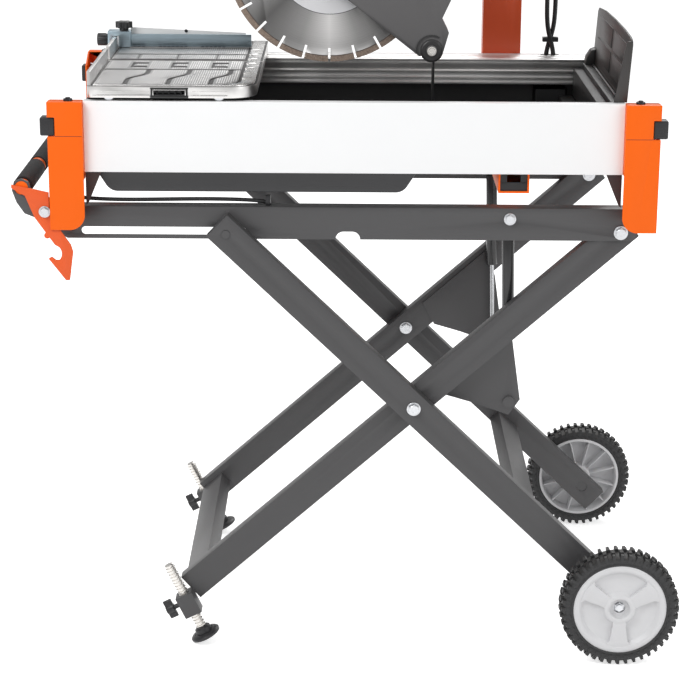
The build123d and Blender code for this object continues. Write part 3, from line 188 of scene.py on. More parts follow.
def dimmed(tree, colour, factor):
    """Colour times a number."""
    node = tree.nodes.new("ShaderNodeVectorMath")
    node.operation = "SCALE"
    feed(tree, node.inputs[0], colour)
    feed(tree, node.inputs["Scale"], factor)
    return node.outputs[0]


def blend(tree, under, over, share):
    """One colour over another by a share."""
    node = tree.nodes.new("ShaderNodeMix")
    node.data_type = "RGBA"
    feed(tree, node.inputs["Factor"], share)
    feed(tree, node.inputs["A"], under)
    feed(tree, node.inputs["B"], over)
    return node.outputs["Result"]


def coat_group():
    """Powder coat: a faint orange peel, a slow change of tone and a little settled dust."""
    takes = [("Colour", "Color")]
    takes += [(label, "Float") for label in ("Peel Scale", "Tone", "Dust", "Gloss")]
    group, given, result, place = finish_group("powder_coat", takes)
    peel = noise(group, place, given["Peel Scale"], 3)
    slow = noise(group, place, 7, 5)
    centred = maths(group, "SUBTRACT", slow, 0.5)
    swing = maths(group, "MULTIPLY_ADD", centred, given["Tone"], 1.0)
    toned = dimmed(group, given["Colour"], swing)
    facing = group.nodes.new("ShaderNodeNewGeometry")
    split = group.nodes.new("ShaderNodeSeparateXYZ")
    feed(group, split.inputs[0], facing.outputs["Normal"])
    upward = group.nodes.new("ShaderNodeMapRange")
    upward.inputs["From Min"].default_value = 0.3
    feed(group, upward.inputs["Value"], split.outputs["Z"])
    settled = maths(group, "MULTIPLY", upward.outputs[0], given["Dust"])
    patch = maths(group, "MULTIPLY", settled, slow)
    feed(group, result["Colour"], blend(group, toned, dust_colour, patch))
    feed(group, result["Roughness"], maths(group, "MULTIPLY_ADD", centred, 0.16, given["Gloss"]))
    feed(group, result["Height"], peel)
    return group


powder_coat = coat_group()


def grained_finish(name, group, values, metallic, bump, shine=0.5):
    """Material whose colour, roughness and relief come from one node group."""
    finish = bpy.data.materials.new(name)
    finish.use_nodes = True
    tree = finish.node_tree
    shader = tree.nodes["Principled BSDF"]
    shader.inputs["Metallic"].default_value = metallic
    shader.inputs["Specular IOR Level"].default_value = shine
    pattern = tree.nodes.new("ShaderNodeGroup")
    pattern.node_tree = group
    for label, value in values.items():
        feed(tree, pattern.inputs[label], value)
    feed(tree, shader.inputs["Base Color"], pattern.outputs["Colour"])
    feed(tree, shader.inputs["Roughness"], pattern.outputs["Roughness"])
    relief = tree.nodes.new("ShaderNodeBump")
    relief.inputs["Strength"].default_value = bump
    relief.inputs["Distance"].default_value = 0.0004
    feed(tree, relief.inputs["Height"], pattern.outputs["Height"])
    feed(tree, shader.inputs["Normal"], relief.outputs[0])
    return finish


def coated(name, colour, gloss=0.42, tone=0.16, dust=0.06, peel=900.0, bump=0.25, shine=0.5):
    """Powder-coated steel of one colour."""
    values = {"Colour": colour, "Peel Scale": peel, "Tone": tone, "Dust": dust, "Gloss": gloss}
    return grained_finish(name, powder_coat, values, 0.0, bump, shine)


stand_coat = coated("stand_coat", stand_colour)


def make_piece(name, shape, finish, body, replaced=()):
    """Turn a finished bmesh into a piece that rides on a body."""
    data = bpy.data.meshes.new(name)
    shape.to_mesh(data)
    shape.free()
    piece = bpy.data.objects.new(name, data)
    bpy.context.scene.collection.objects.link(piece)
    data.materials.append(finish)
    data.shade_smooth()
    data.set_sharp_from_angle(angle=radians(34))
    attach(piece, body)
    if replaced:
        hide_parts(*replaced)
    return piece


body_of_node = {}
for body_name, members in frame["record"]["behaviour"]["bodies"].items():
    for member in members:
        body_of_node[member] = body_name


def whole_shape(node):
    """The frame's node as one welded bmesh with its flat faces joined up."""
    shape = bmesh.new()
    shape.from_mesh(frame["nodes"][node].data)
    bmesh.ops.remove_doubles(shape, verts=shape.verts, dist=0.000002)
    bmesh.ops.dissolve_limit(
        shape,
        angle_limit=radians(0.6),
        use_dissolve_boundaries=False,
        verts=shape.verts,
        edges=shape.edges,
    )
    return shape


def round_edges(shape, width, segments=2, angle=35):
    """Bevel every edge of a shape that is sharper than an angle."""
    sharp = [
        edge for edge in shape.edges if edge.is_manifold and edge.calc_face_angle(0) > radians(angle)
    ]
    bmesh.ops.bevel(
        shape,
        geom=sharp,
        offset=width,
        offset_type="OFFSET",
        segments=segments,
        profile=0.5,
        affect="EDGES",
        clamp_overlap=True,
        material=-1,
    )


def rounded_from_frame(node, finish, width=0.0006, segments=2):
    """A node of the frame with its edges rounded, in place of the node."""
    shape = whole_shape(node)
    round_edges(shape, width, segments)
    return make_piece(node + "_worked", shape, finish, body_of_node[node], (node,))


for side in ("front", "rear"):
    rounded_from_frame("stand_rail_" + side, stand_coat, 0.0008)

# ---- Inner and outer legs.
# Rectangular steel tube in the same dark coat, welded to a foot bar, gussets and foot
# sockets on the inner pair and to one brace on the outer pair. Weld beads run round them.
rounded_from_frame("inner_leg_frame", stand_coat, 0.0022, 3)
rounded_from_frame("outer_leg_frame", stand_coat, 0.0022, 3)


def weld_bead(shape, start, end, radius=0.0022):
    """A row of overlapping scales along a joint."""
    start = Vector(start)
    end = Vector(end)
    count = max(2, int((end - start).length / (radius * 1.3)))
    for step in range(count + 1):
        spot = start.lerp(end, step / count)
        made = bmesh.ops.create_uvsphere(shape, u_segments=8, v_segments=6, radius=radius)
        bmesh.ops.translate(shape, verts=made["verts"], vec=spot)


joints = {joint["name"]: joint for joint in frame["joints"]}
leg_pivot = Vector(joints["stand_fold"]["pos_m"])
crossing = Vector(joints["leg_crossing"]["pos_m"])
leg_along = (crossing - leg_pivot).normalized()
leg_up = Vector((leg_along.z, 0, -leg_along.x))
leg_inner_y = 0.2215
bar_start = 0.899
bar_width = 0.046
bar_under = -0.010
bar_over = 0.014
shape = bmesh.new()
for side in (-1, 1):
    for up in (bar_under, bar_over):
        spot = leg_pivot + leg_along * bar_start + leg_up * up
        far = leg_pivot + leg_along * (bar_start + bar_width) + leg_up * up
        weld_bead(shape, (spot.x, side * leg_inner_y, spot.z), (far.x, side * leg_inner_y, far.z))
make_piece("leg_welds", shape, stand_coat, "inner_legs")

# ---- Bolts and screws.
# Zinc-plated steel: pivot, crossing and slot bolts with their washers and nuts, and the
# black screws on the corner brackets.
zinc_colour = (0.60, 0.61, 0.63, 1)


def metal_group():
    """Worked metal: fine lines along one axis and a slow cloudiness."""
    takes = (("Colour", "Color"), ("Grain", "Vector"), ("Tone", "Float"), ("Gloss", "Float"))
    group, given, result, place = finish_group("worked_metal", takes)
    drawn = maths(group, "MULTIPLY", place, given["Grain"], kind="ShaderNodeVectorMath")
    lines = noise(group, drawn, 1, 4)
    cloud = noise(group, place, 16, 6)
    centred = maths(group, "SUBTRACT", maths(group, "ADD", lines, cloud), 1.0)
    swing = maths(group, "MULTIPLY_ADD", centred, given["Tone"], 1.0)
    feed(group, result["Colour"], dimmed(group, given["Colour"], swing))
    feed(group, result["Roughness"], maths(group, "MULTIPLY_ADD", centred, 0.22, given["Gloss"]))
    feed(group, result["Height"], lines)
    return group


worked_metal = metal_group()


def metal(name, colour, grain=(300, 300, 300), gloss=0.3, tone=0.2, bump=0.12):
    """Bare or plated metal with its grain counted per metre along x, y and z."""
    values = {"Colour": colour, "Grain": grain, "Tone": tone, "Gloss": gloss}
    return grained_finish(name, worked_metal, values, 1.0, bump)


zinc = metal("zinc_plate", zinc_colour)


def along_y(shape, verts, x, y, z):
    """Turn verts from the z axis to the y axis and set them in place."""
    bmesh.ops.rotate(shape, verts=verts, cent=(0, 0, 0), matrix=Matrix.Rotation(radians(90), 3, "X"))
    bmesh.ops.translate(shape, verts=verts, vec=(x, y, z))


def rod(shape, x, z, radius, y0, y1, steps=32):
    """Round bar along y."""
    made = bmesh.ops.create_cone(
        shape, cap_ends=True, segments=steps, radius1=radius, radius2=radius, depth=abs(y1 - y0)
    )
    along_y(shape, made["verts"], x, (y0 + y1) / 2, z)


def face_outwards(shape):
    """Turn every face of a shape to look out of it."""
    bmesh.ops.recalc_face_normals(shape, faces=shape.faces)


def turned(shape, profile, x, z, steps=48):
    """Lathe a profile of (radius, y) points about a line along y."""
    verts = [shape.verts.new((x + radius, y, z)) for radius, y in profile]
    edges = [shape.edges.new(pair) for pair in zip(verts, verts[1:])]
    bmesh.ops.spin(
        shape,
        geom=verts + edges,
        cent=(x, 0, z),
        axis=(0, 1, 0),
        angle=2 * pi,
        steps=steps,
        use_merge=True,
    )
    face_outwards(shape)


def bolt_head(shape, x, z, face_y, out, radius=0.0085):
    """Washer and hexagon head with a chamfered crown, out from a face along y."""
    washer = radius * 1.22
    thick = 0.0016
    chamfer = 0.0004
    base = face_y + out * thick
    turned(
        shape,
        [
            (0.001, face_y),
            (washer, face_y),
            (washer, base - out * chamfer),
            (washer - chamfer, base),
            (0.001, base),
        ],
        x,
        z,
    )
    height = radius * 0.62
    made = bmesh.ops.create_cone(
        shape, cap_ends=True, segments=6, radius1=radius, radius2=radius, depth=height
    )
    along_y(shape, made["verts"], x, base + out * height / 2, z)
    crown = height + 0.0005
    dimple = 0.0012
    turned(
        shape,
        [
            (0.001, base),
            (radius * 0.86, base + out * height),
            (radius * 0.8, base + out * crown),
            (radius * 0.42, base + out * crown),
            (radius * 0.36, base + out * (height - dimple)),
            (0.001, base + out * (height - dimple - chamfer)),
        ],
        x,
        z,
        24,
    )

outer_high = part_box("outer_leg_frame")[1]
hook_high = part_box("hook_lever")[1]
bracket_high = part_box("corner_brackets_right")[1]
lever_pivot = Vector(joints["hook_swing"]["pos_m"])
spring_top = Vector(joints["spring_swing_front"]["pos_m"])
slot_pin = Vector((-0.2064, 0, 0.720))
rail_web_y = 0.2495
grip_plate_y = 0.2765
thin_pin = 0.0049
shape = bmesh.new()
for side in (-1, 1):
    for pivot, pin, pin_end, head, nut_face, nut in (
        (leg_pivot, 0.0079, 0.2150, 0.0095, leg_inner_y, 0.0095),
        (spring_top, thin_pin, 0.1970, 0.0082, 0.1975, 0.0070),
    ):
        bolt_head(shape, pivot.x, pivot.z, side * rail_web_y, side, head)
        rod(shape, pivot.x, pivot.z, pin, side * rail_web_y, side * pin_end)
        bolt_head(shape, pivot.x, pivot.z, side * nut_face, -side, nut)
    bolt_head(shape, lever_pivot.x, lever_pivot.z, side * hook_high.y, side, 0.0078)
    rod(shape, lever_pivot.x, lever_pivot.z, thin_pin, side * hook_high.y, side * grip_plate_y)
make_piece("frame_bolts_worked", shape, zinc, "frame", ("frame_bolts",))
screw_black = metal("screw_black", (0.05, 0.05, 0.055, 1), gloss=0.38)
screw_x = 0.455
screw_y = 0.270
screw_layer = 0.003
shape = bmesh.new()
for side in (-1, 1):
    for end in (-1, 1):
        for rise, sides, foot, top in ((0.0015, 24, 0.0075, 0.007), (0.0035, 6, 0.0042, 0.004)):
            bmesh.ops.create_cone(
                shape,
                cap_ends=True,
                segments=sides,
                radius1=foot,
                radius2=top,
                depth=screw_layer,
                matrix=Matrix.Translation((end * screw_x, side * screw_y, bracket_high.z + rise)),
            )
make_piece("bracket_screws", shape, screw_black, "frame")

leg_pin = 0.0044
pin_inner_y = 0.2425
pin_outer_y = 0.2740
shape = bmesh.new()
for side in (-1, 1):
    for spot, radius, nut_face in ((slot_pin, 0.0070, 0.2460), (crossing, 0.0095, 0.2212)):
        if spot is crossing:
            bolt_head(shape, spot.x, spot.z, side * outer_high.y, side, radius)
        rod(shape, spot.x, spot.z, leg_pin, side * pin_inner_y, side * pin_outer_y)
        bolt_head(shape, spot.x, spot.z, side * nut_face, -side, radius)
make_piece("leg_bolts_worked", shape, zinc, "outer_legs", ("leg_bolts",))
end_radius = 0.0068
end_sunk = 0.0003
end_proud = 0.0015
shape = bmesh.new()
for side in (-1, 1):
    sunk = side * (outer_high.y - end_sunk)
    rod(shape, slot_pin.x, slot_pin.z, end_radius, sunk, side * (outer_high.y + end_proud))
make_piece("leg_pin_ends", shape, stand_coat, "outer_legs")

# ---- Wheels.
# Light grey moulded hubs: three broad spokes outside, thin ribs inside. The black tyres
# carry two rows of blocks. Each wheel is held by a nut and washer on its stub axle.
hub_colour = (0.683, 0.683, 0.695, 1)
tyre_colour = (0.022, 0.022, 0.023, 1)


def plastic(name, colour, gloss=0.45, tone=0.1, dust=0.03, grain=2200.0, bump=0.2):
    """Moulded plastic or rubber with a fine spark-eroded grain."""
    values = {"Colour": colour, "Peel Scale": grain, "Tone": tone, "Dust": dust, "Gloss": gloss}
    return grained_finish(name, powder_coat, values, 0.0, bump)


hub_plastic = plastic("hub_plastic", hub_colour, gloss=0.36, tone=0.06)
tyre_rubber = plastic("tyre_rubber", tyre_colour, gloss=0.55, dust=0.14)


def block(shape, low, high):
    """Box between two corners."""
    low = Vector(low)
    high = Vector(high)
    size = high - low
    place = Matrix.Translation((low + high) / 2) @ Matrix.Diagonal((*size, 1))
    return bmesh.ops.create_cube(shape, size=1, matrix=place)["verts"]


def skin(shape, near, far):
    """Side faces between two rings with the same number of corners."""
    for index in range(len(near)):
        after = (index + 1) % len(near)
        shape.faces.new((near[after], near[index], far[index], far[after]))


def spoke_block(shape, corners, y0, y1):
    """Prism along y over (x, z) corners that run round its outline."""
    front = [shape.verts.new((x, y0, z)) for x, z in corners]
    back = [shape.verts.new((x, y1, z)) for x, z in corners]
    shape.faces.new(front)
    shape.faces.new(back[::-1])
    skin(shape, front, back)
    face_outwards(shape)


def polar(centre, radius, angle):
    """Point in x and z at a radius and an angle in degrees."""
    return (centre.x + radius * cos(radians(angle)), centre.z + radius * sin(radians(angle)))


spokes = 3
hub_ribs = 12
lugs = 44
for side_name, side in (("front", -1), ("rear", 1)):
    axle = Vector(joints["wheel_spin_" + side_name]["pos_m"])
    tyre_low, tyre_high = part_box("tyre_" + side_name)
    hub_low, hub_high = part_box("wheel_hub_" + side_name)
    tyre_radius = (tyre_high.z - tyre_low.z) / 2
    rim = (hub_high.z - hub_low.z) / 2
    half = (tyre_high.y - tyre_low.y) / 2
    middle = axle.y
    outer = middle + side * (half - 0.001)
    inner = middle - side * (half - 0.001)
    shape = bmesh.new()
    turned(
        shape,
        [
            (0.010, outer - side * 0.012),
            (0.015, outer - side * 0.012),
            (0.017, outer - side * 0.002),
            (0.020, outer),
            (0.025, outer - side * 0.001),
            (0.029, outer - side * 0.008),
            (0.040, outer - side * 0.0105),
            (rim - 0.016, outer - side * 0.008),
            (rim - 0.012, outer - side * 0.002),
            (rim - 0.009, outer),
            (rim - 0.003, outer),
            (rim, outer - side * 0.002),
            (rim, inner + side * 0.002),
            (rim - 0.001, inner),
            (rim - 0.005, inner),
            (rim - 0.006, inner + side * 0.002),
            (rim - 0.008, outer - side * 0.018),
            (0.024, outer - side * 0.018),
            (0.022, inner + side * 0.002),
            (0.020, inner),
            (0.010, inner),
            (0.010, outer - side * 0.012),
        ],
        axle.x,
        axle.z,
        72,
    )
    half_spoke = [(0.020, 34), (0.034, 19), (rim - 0.018, 14.5), (rim - 0.011, 19)]
    for spoke in range(spokes):
        angle = 30 + 360 / spokes * spoke
        corners = [polar(axle, radius, angle - spread) for radius, spread in half_spoke]
        corners.append(polar(axle, rim - 0.008, angle))
        corners += [polar(axle, radius, angle + spread) for radius, spread in reversed(half_spoke)]
        spoke_block(shape, corners, outer - side * 0.012, outer - side * 0.0012)
    for rib in range(hub_ribs):
        angle = 15 + 360 / hub_ribs * rib
        corners = [
            polar(axle, 0.021, angle - 2.4),
            polar(axle, rim - 0.006, angle - 0.8),
            polar(axle, rim - 0.006, angle + 0.8),
            polar(axle, 0.021, angle + 2.4),
        ]
        spoke_block(shape, corners, inner + side * 0.002, outer - side * 0.019)
    round_edges(shape, 0.0009, 2, 40)
    make_piece(
        "hub_moulding_" + side_name, shape, hub_plastic, "wheel_" + side_name,
        ("wheel_hub_" + side_name,)
    )
    shape = bmesh.new()
    half_carcass = [
        (rim - 0.001, half - 0.003),
        (rim + 0.002, half - 0.0012),
        (rim + 0.0045, half - 0.002),
        (rim + 0.0095, half),
        (tyre_radius - 0.008, half - 0.002),
        (tyre_radius - 0.0055, half * 0.62),
    ]
    carcass = [(radius, middle - across) for radius, across in half_carcass]
    carcass.append((tyre_radius - 0.0048, middle))
    carcass += [(radius, middle + across) for radius, across in reversed(half_carcass)]
    turned(shape, carcass + carcass[:1], axle.x, axle.z, 88)
    for lug in range(lugs):
        for row, shift in ((-1, 0.0), (1, 0.5)):
            angle = 360 * (lug + shift) / lugs
            for y0, y1, low, top, width in (
                (0.0022, 0.0125, tyre_radius - 0.007, tyre_radius - 0.0002, 2.45),
                (0.0140, half - 0.0002, tyre_radius - 0.0165, tyre_radius - 0.0022, 2.15),
            ):
                corners = [
                    polar(axle, low, angle - width),
                    polar(axle, top, angle - width * 0.66),
                    polar(axle, top, angle + width * 0.66),
                    polar(axle, low, angle + width),
                ]
                spans = sorted((middle + row * y0, middle + row * y1))
                spoke_block(shape, corners, *spans)
    make_piece(
        "tyre_tread_" + side_name, shape, tyre_rubber, "wheel_" + side_name,
        ("tyre_" + side_name,)
    )
axle_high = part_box("wheel_axles")[1]
axle = Vector(joints["wheel_spin_front"]["pos_m"])
leg_back_y = 0.2515
hub_face = 0.305
nut_face = axle_high.y - 0.0105
shape = bmesh.new()
for side in (-1, 1):
    rod(shape, axle.x, axle.z, 0.0098, side * leg_back_y, side * hub_face)
    rod(shape, axle.x, axle.z, 0.0138, side * outer_high.y, side * (hub_face - 0.001))
make_piece("axle_sleeves", shape, stand_coat, "outer_legs")
shape = bmesh.new()
for side in (-1, 1):
    bolt_head(shape, axle.x, axle.z, side * nut_face, side, 0.0085)
    rod(shape, axle.x, axle.z, 0.0055, side * (axle_high.y - 0.006), side * (axle_high.y - 0.0001), 24)
    rod(shape, axle.x, axle.z, 0.0095, side * (hub_face - 0.005), side * nut_face)
make_piece("axle_nuts", shape, zinc, "outer_legs", ("wheel_axles",))

# ---- Levelling feet.
# Zinc-plated spindles with a coarse thread, swivelling in black moulded pads and locked
# by black winged screws in the sockets of the inner legs.
black_colour = (0.014, 0.014, 0.016, 1)
black_plastic = plastic("black_plastic", black_colour, gloss=0.4)
bright_zinc = metal("bright_zinc", (0.72, 0.70, 0.67, 1), gloss=0.26)
foot_axis = -Vector(joints["foot_slide_front"]["axis"]).normalized()
thread_pitch = 0.0058
thread_top = 0.144
thread_foot = 0.018
thread_root = 0.0070
thread_crest = 0.0088
for side_name in ("front", "rear"):
    foot_low, foot_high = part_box("foot_" + side_name)
    foot_y = (foot_low.y + foot_high.y) / 2
    pad_radius = (foot_high.y - foot_low.y) / 2
    lean = atan2(-foot_axis.x, foot_axis.z)
    sole = Vector((foot_high.x - pad_radius * cos(lean), foot_y, pad_radius * sin(lean)))
    leaning = Matrix.Translation(sole) @ Matrix.Rotation(-lean, 4, "Y")
    upright = leaning @ Matrix.Rotation(radians(90), 4, "X")
    thread = bmesh.new()
    profile = [(0.0005, thread_top), (0.0068, thread_top), (0.0078, thread_top - 0.0008)]
    height = thread_top - 0.002
    while height > thread_foot + 0.004:
        profile.append((thread_root, height))
        profile.append((thread_root, height - thread_pitch * 0.42))
        profile.append((thread_crest, height - thread_pitch * 0.58))
        profile.append((thread_crest, height - thread_pitch * 0.84))
        height -= thread_pitch
    profile.append((thread_root, thread_foot))
    profile.append((0.0005, thread_foot))
    turned(thread, profile, 0, 0, 28)
    bmesh.ops.transform(thread, matrix=upright, verts=thread.verts)
    face_outwards(thread)
    make_piece(
        "foot_thread_" + side_name, thread, bright_zinc, "foot_" + side_name,
        ("foot_" + side_name,)
    )
    pad = bmesh.new()
    turned(
        pad,
        [
            (0.0005, 0.0002),
            (pad_radius - 0.003, 0.0002),
            (pad_radius - 0.0006, 0.0014),
            (pad_radius - 0.0002, 0.0050),
            (pad_radius - 0.0030, 0.0076),
            (pad_radius - 0.0075, 0.0086),
            (pad_radius - 0.0085, 0.0076),
            (0.0145, 0.0084),
            (0.0135, 0.0165),
            (0.0105, 0.0188),
            (0.0005, 0.0188),
        ],
        0,
        0,
        56,
    )
    bmesh.ops.transform(pad, matrix=upright, verts=pad.verts)
    face_outwards(pad)
    make_piece("foot_pad_" + side_name, pad, black_plastic, "foot_" + side_name)
    rounded_from_frame("foot_knob_" + side_name, black_plastic, 0.0016, 3)

# ---- Gas springs.
# Black lacquered cylinders with a crimped end collar and ground, chromed rods.
cylinder_lacquer = coated("cylinder_lacquer", (0.018, 0.018, 0.019, 1), gloss=0.24, peel=400.0)
rod_chrome = metal("rod_chrome", (0.75, 0.76, 0.78, 1), (40, 40, 900), gloss=0.14)
for side in ("front", "rear"):
    rounded_from_frame("gas_cylinder_" + side, cylinder_lacquer, 0.0008)
    rounded_from_frame("gas_rod_" + side, rod_chrome, 0.0006)

# ---- Side panels.
# Folded steel sheet in satin white, a flat channel on each side of the tray.
white_coat = coated("white_coat", (0.90, 0.905, 0.91, 1), gloss=0.32, tone=0.03, dust=0.0)
for node in ("front_panel", "rear_panel"):
    rounded_from_frame(node, white_coat, 0.0015, 3)

# ---- Water tray and pump.
# Deep-drawn black plastic basin with a lower sump, shelves moulded in its right end,
# and the submersible pump that stands behind the rail.
tray_plastic = plastic("tray_plastic", (0.022, 0.022, 0.024, 1), gloss=0.36)
rounded_from_frame("water_tray", tray_plastic, 0.003, 3)
tray_low, tray_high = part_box("water_tray")
rail_bar_low, rail_bar_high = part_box("guide_rail")
shelf_front = -0.266
shelf_back = 0.196
ledge_z = tray_high.z - 0.062
end_x = tray_high.x - 0.0042
shape = bmesh.new()
block(shape, (end_x - 0.030, shelf_front, ledge_z), (end_x, shelf_back, tray_high.z - 0.012))
block(
    shape,
    (end_x - 0.014, shelf_front, tray_high.z - 0.013),
    (end_x, shelf_back, tray_high.z - 0.002),
)
for step in range(5):
    rib_y = -0.22 + 0.09 * step
    block(shape, (end_x - 0.052, rib_y, tray_high.z - 0.100), (end_x - 0.029, rib_y + 0.004, ledge_z))
block(shape, (end_x - 0.055, shelf_front, tray_low.z + 0.042), (end_x - 0.030, shelf_back, ledge_z))
round_edges(shape, 0.0015, 2, 40)
shelf_plastic = plastic("shelf_plastic", (0.009, 0.009, 0.010, 1), gloss=0.42)
make_piece("tray_shelf", shape, shelf_plastic, "frame")
pump_black = plastic("pump_black", (0.008, 0.008, 0.009, 1), gloss=0.5)
rounded_from_frame("water_pump", pump_black, 0.002, 3)
pump_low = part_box("water_pump")[0]
slit_pitch = 0.006
slit_width = 0.003
shape = bmesh.new()
for step in range(9):
    slit_x = pump_low.x + 0.005 + step * slit_pitch
    block(
        shape,
        (slit_x, pump_low.y - 0.0012, pump_low.z + 0.004),
        (slit_x + slit_width, pump_low.y + 0.001, pump_low.z + 0.028),
    )
make_piece("pump_strainer", shape, pump_black, "frame")

# ---- Corner brackets and catches.
# Bent orange sheet at each corner with a crease at the catch's lower edge, drawn as a dark
# line of painted shade, a gusset inside painted near-black for the shade within the bracket,
# and a black push catch whose thumb face has a ring between two bars.
orange_colour = (0.93, 0.135, 0.003, 1)
orange_coat = coated("orange_coat", orange_colour, gloss=0.42, tone=0.05, dust=0.0, shine=0.22)
# Dark red for the painted shade along each bracket's crease.
crease_shade_paint = coated("crease_shade_paint", (0.30, 0.035, 0.004, 1), gloss=0.5, dust=0.0)
# Near-black red for the painted shade inside each bracket, put on its gusset.
gusset_shade_coat = coated("gusset_shade_coat", (0.035, 0.012, 0.010, 1), gloss=0.5)
flange_depth = 0.026
wall_drop = 0.020
crease_half = 0.0005
gusset_y = (0.2620, 0.2650)
panel_low_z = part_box("front_panel")[0].z
for side_name, end in (("left", -1), ("right", 1)):
    node = "corner_brackets_" + side_name
    shape = whole_shape(node)
    corner_low, corner_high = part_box(node)
    outer_x = corner_high.x if end > 0 else corner_low.x
    inner_x = corner_low.x if end > 0 else corner_high.x
    flange_end = corner_high.y - flange_depth
    for side in (-1, 1):
        bmesh.ops.bisect_plane(
            shape,
            geom=shape.verts[:] + shape.edges[:] + shape.faces[:],
            plane_co=(0, side * flange_end, 0),
            plane_no=(0, 1, 0),
        )
    for vert in shape.verts:
        if abs(vert.co.y) < flange_end - 0.0005 and vert.co.z > corner_high.z - 0.0005:
            vert.co.z -= wall_drop
    round_edges(shape, 0.0012, 3, 40)
    make_piece(node + "_sheet", shape, orange_coat, "frame", (node,))
    # Dark red strip along each crease: painted shade of the fold.
    shape = bmesh.new()
    crease_z = corner_high.z - 0.0545
    for side in (-1, 1):
        face_y = side * corner_high.y
        spans = sorted((inner_x + end * 0.0012, outer_x - end * 0.012))
        ys = sorted((face_y - side * 0.0006, face_y + side * 0.00012))
        low = (spans[0], ys[0], crease_z - crease_half)
        block(shape, low, (spans[1], ys[1], crease_z + crease_half))
    make_piece("bracket_crease_shade_" + side_name, shape, crease_shade_paint, "frame")
    # Near-black red gusset: painted shade inside the bracket.
    shape = bmesh.new()
    gusset_top = panel_low_z - 0.0004
    for side in (-1, 1):
        corners = [
            (inner_x, gusset_top),
            (inner_x - end * 0.026, gusset_top),
            (inner_x - end * 0.004, panel_low_z - 0.052),
            (inner_x, panel_low_z - 0.056),
        ]
        ys = sorted(side * y for y in gusset_y)
        spoke_block(shape, corners, *ys)
    round_edges(shape, 0.0004, 1, 40)
    make_piece("bracket_gusset_shade_" + side_name, shape, gusset_shade_coat, "frame")
    for place in ("front", "rear"):
        latch = "corner_latch_" + place + "_" + side_name
        rounded_from_frame(latch, black_plastic, 0.0018, 3)
        latch_low, latch_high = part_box(latch)
        middle = (latch_low + latch_high) / 2
        side = -1 if place == "front" else 1
        face_y = latch_low.y if side < 0 else latch_high.y
        shape = bmesh.new()
        turned(
            shape,
            [
                (0.0030, face_y - side * 0.0002),
                (0.0034, face_y + side * 0.0002),
                (0.0054, face_y + side * 0.0002),
                (0.0058, face_y - side * 0.0002),
            ],
            middle.x + end * 0.002,
            middle.z - 0.001,
            32,
        )
        for lift in (-0.0105, 0.0095):
            ys = sorted((face_y - side * 0.0002, face_y + side * 0.0002))
            block(
                shape,
                (latch_low.x + 0.003, ys[0], middle.z + lift),
                (latch_high.x - 0.003, ys[1], middle.z + lift + 0.0012),
            )
        make_piece(latch + "_face", shape, black_plastic, latch)

# ---- Handle and hook lever.
# A coated steel bar with three foam grips, orange collars between them and dark end
# plates, and the hook lever, orange darkened and reddened for painted shade, that catches
# the folded legs.
foam = plastic("foam_grip", (0.011, 0.011, 0.012, 1), gloss=0.85, grain=1400.0, bump=0.7)
rounded_from_frame("handle_plates", stand_coat, 0.0008)
rounded_from_frame("handle_bar", orange_coat, 0.0008)
rounded_from_frame("handle_grips", foam, 0.0035, 4)
# Orange darkened and reddened: painted shade on the lever behind the bracket.
lever_shaded_orange = coated("lever_shaded_orange", (0.80, 0.115, 0.026, 1), gloss=0.38, tone=0.12, dust=0.0, shine=0.3)
rounded_from_frame("hook_lever", lever_shaded_orange, 0.0007)

# ---- Guide rail.
# Extruded aluminium section with rolled grooves and ledges in its front face.
rail_aluminium = metal("rail_aluminium", (0.90, 0.89, 0.88, 1), (6, 420, 420), gloss=0.42, tone=0.25)
rail_top = rail_bar_high.z
rail_front = rail_bar_low.y
rail_base = rail_bar_low.z
section = [
    (rail_front, rail_top),
    (rail_front, rail_top - 0.0030),
    (rail_front + 0.0028, rail_top - 0.0034),
    (rail_front + 0.0028, rail_top - 0.0056),
    (rail_front + 0.0006, rail_top - 0.0064),
    (rail_front + 0.0016, rail_top - 0.0130),
    (rail_front + 0.0034, rail_top - 0.0180),
    (rail_front + 0.0036, rail_top - 0.0196),
    (rail_front, rail_top - 0.0206),
    (rail_front, rail_top - 0.0226),
    (rail_front + 0.0030, rail_top - 0.0236),
    (rail_front + 0.0030, rail_top - 0.0310),
    (rail_front + 0.0002, rail_top - 0.0322),
    (rail_front + 0.0002, rail_top - 0.0350),
    (rail_front + 0.0026, rail_top - 0.0362),
    (rail_front + 0.0026, rail_top - 0.0396),
    (rail_front, rail_base + 0.0040),
    (rail_front, rail_base),
    (rail_bar_high.y, rail_base),
    (rail_bar_high.y, rail_top),
    (rail_bar_high.y - 0.010, rail_top),
    (rail_bar_high.y - 0.011, rail_top - 0.0012),
    (rail_bar_high.y - 0.020, rail_top - 0.0012),
    (rail_bar_high.y - 0.021, rail_top),
    (rail_front + 0.0165, rail_top),
    (rail_front + 0.0160, rail_top - 0.0030),
    (rail_front + 0.0120, rail_top - 0.0030),
    (rail_front + 0.0115, rail_top - 0.0004),
]
shape = bmesh.new()
ends = []
for x in (rail_bar_low.x, rail_bar_high.x):
    ends.append([shape.verts.new((x, y, z)) for y, z in section])
shape.faces.new(ends[0])
shape.faces.new(ends[1][::-1])
skin(shape, *ends)
face_outwards(shape)
round_edges(shape, 0.0004, 2, 30)
make_piece("rail_section", shape, rail_aluminium, "frame", ("guide_rail",))

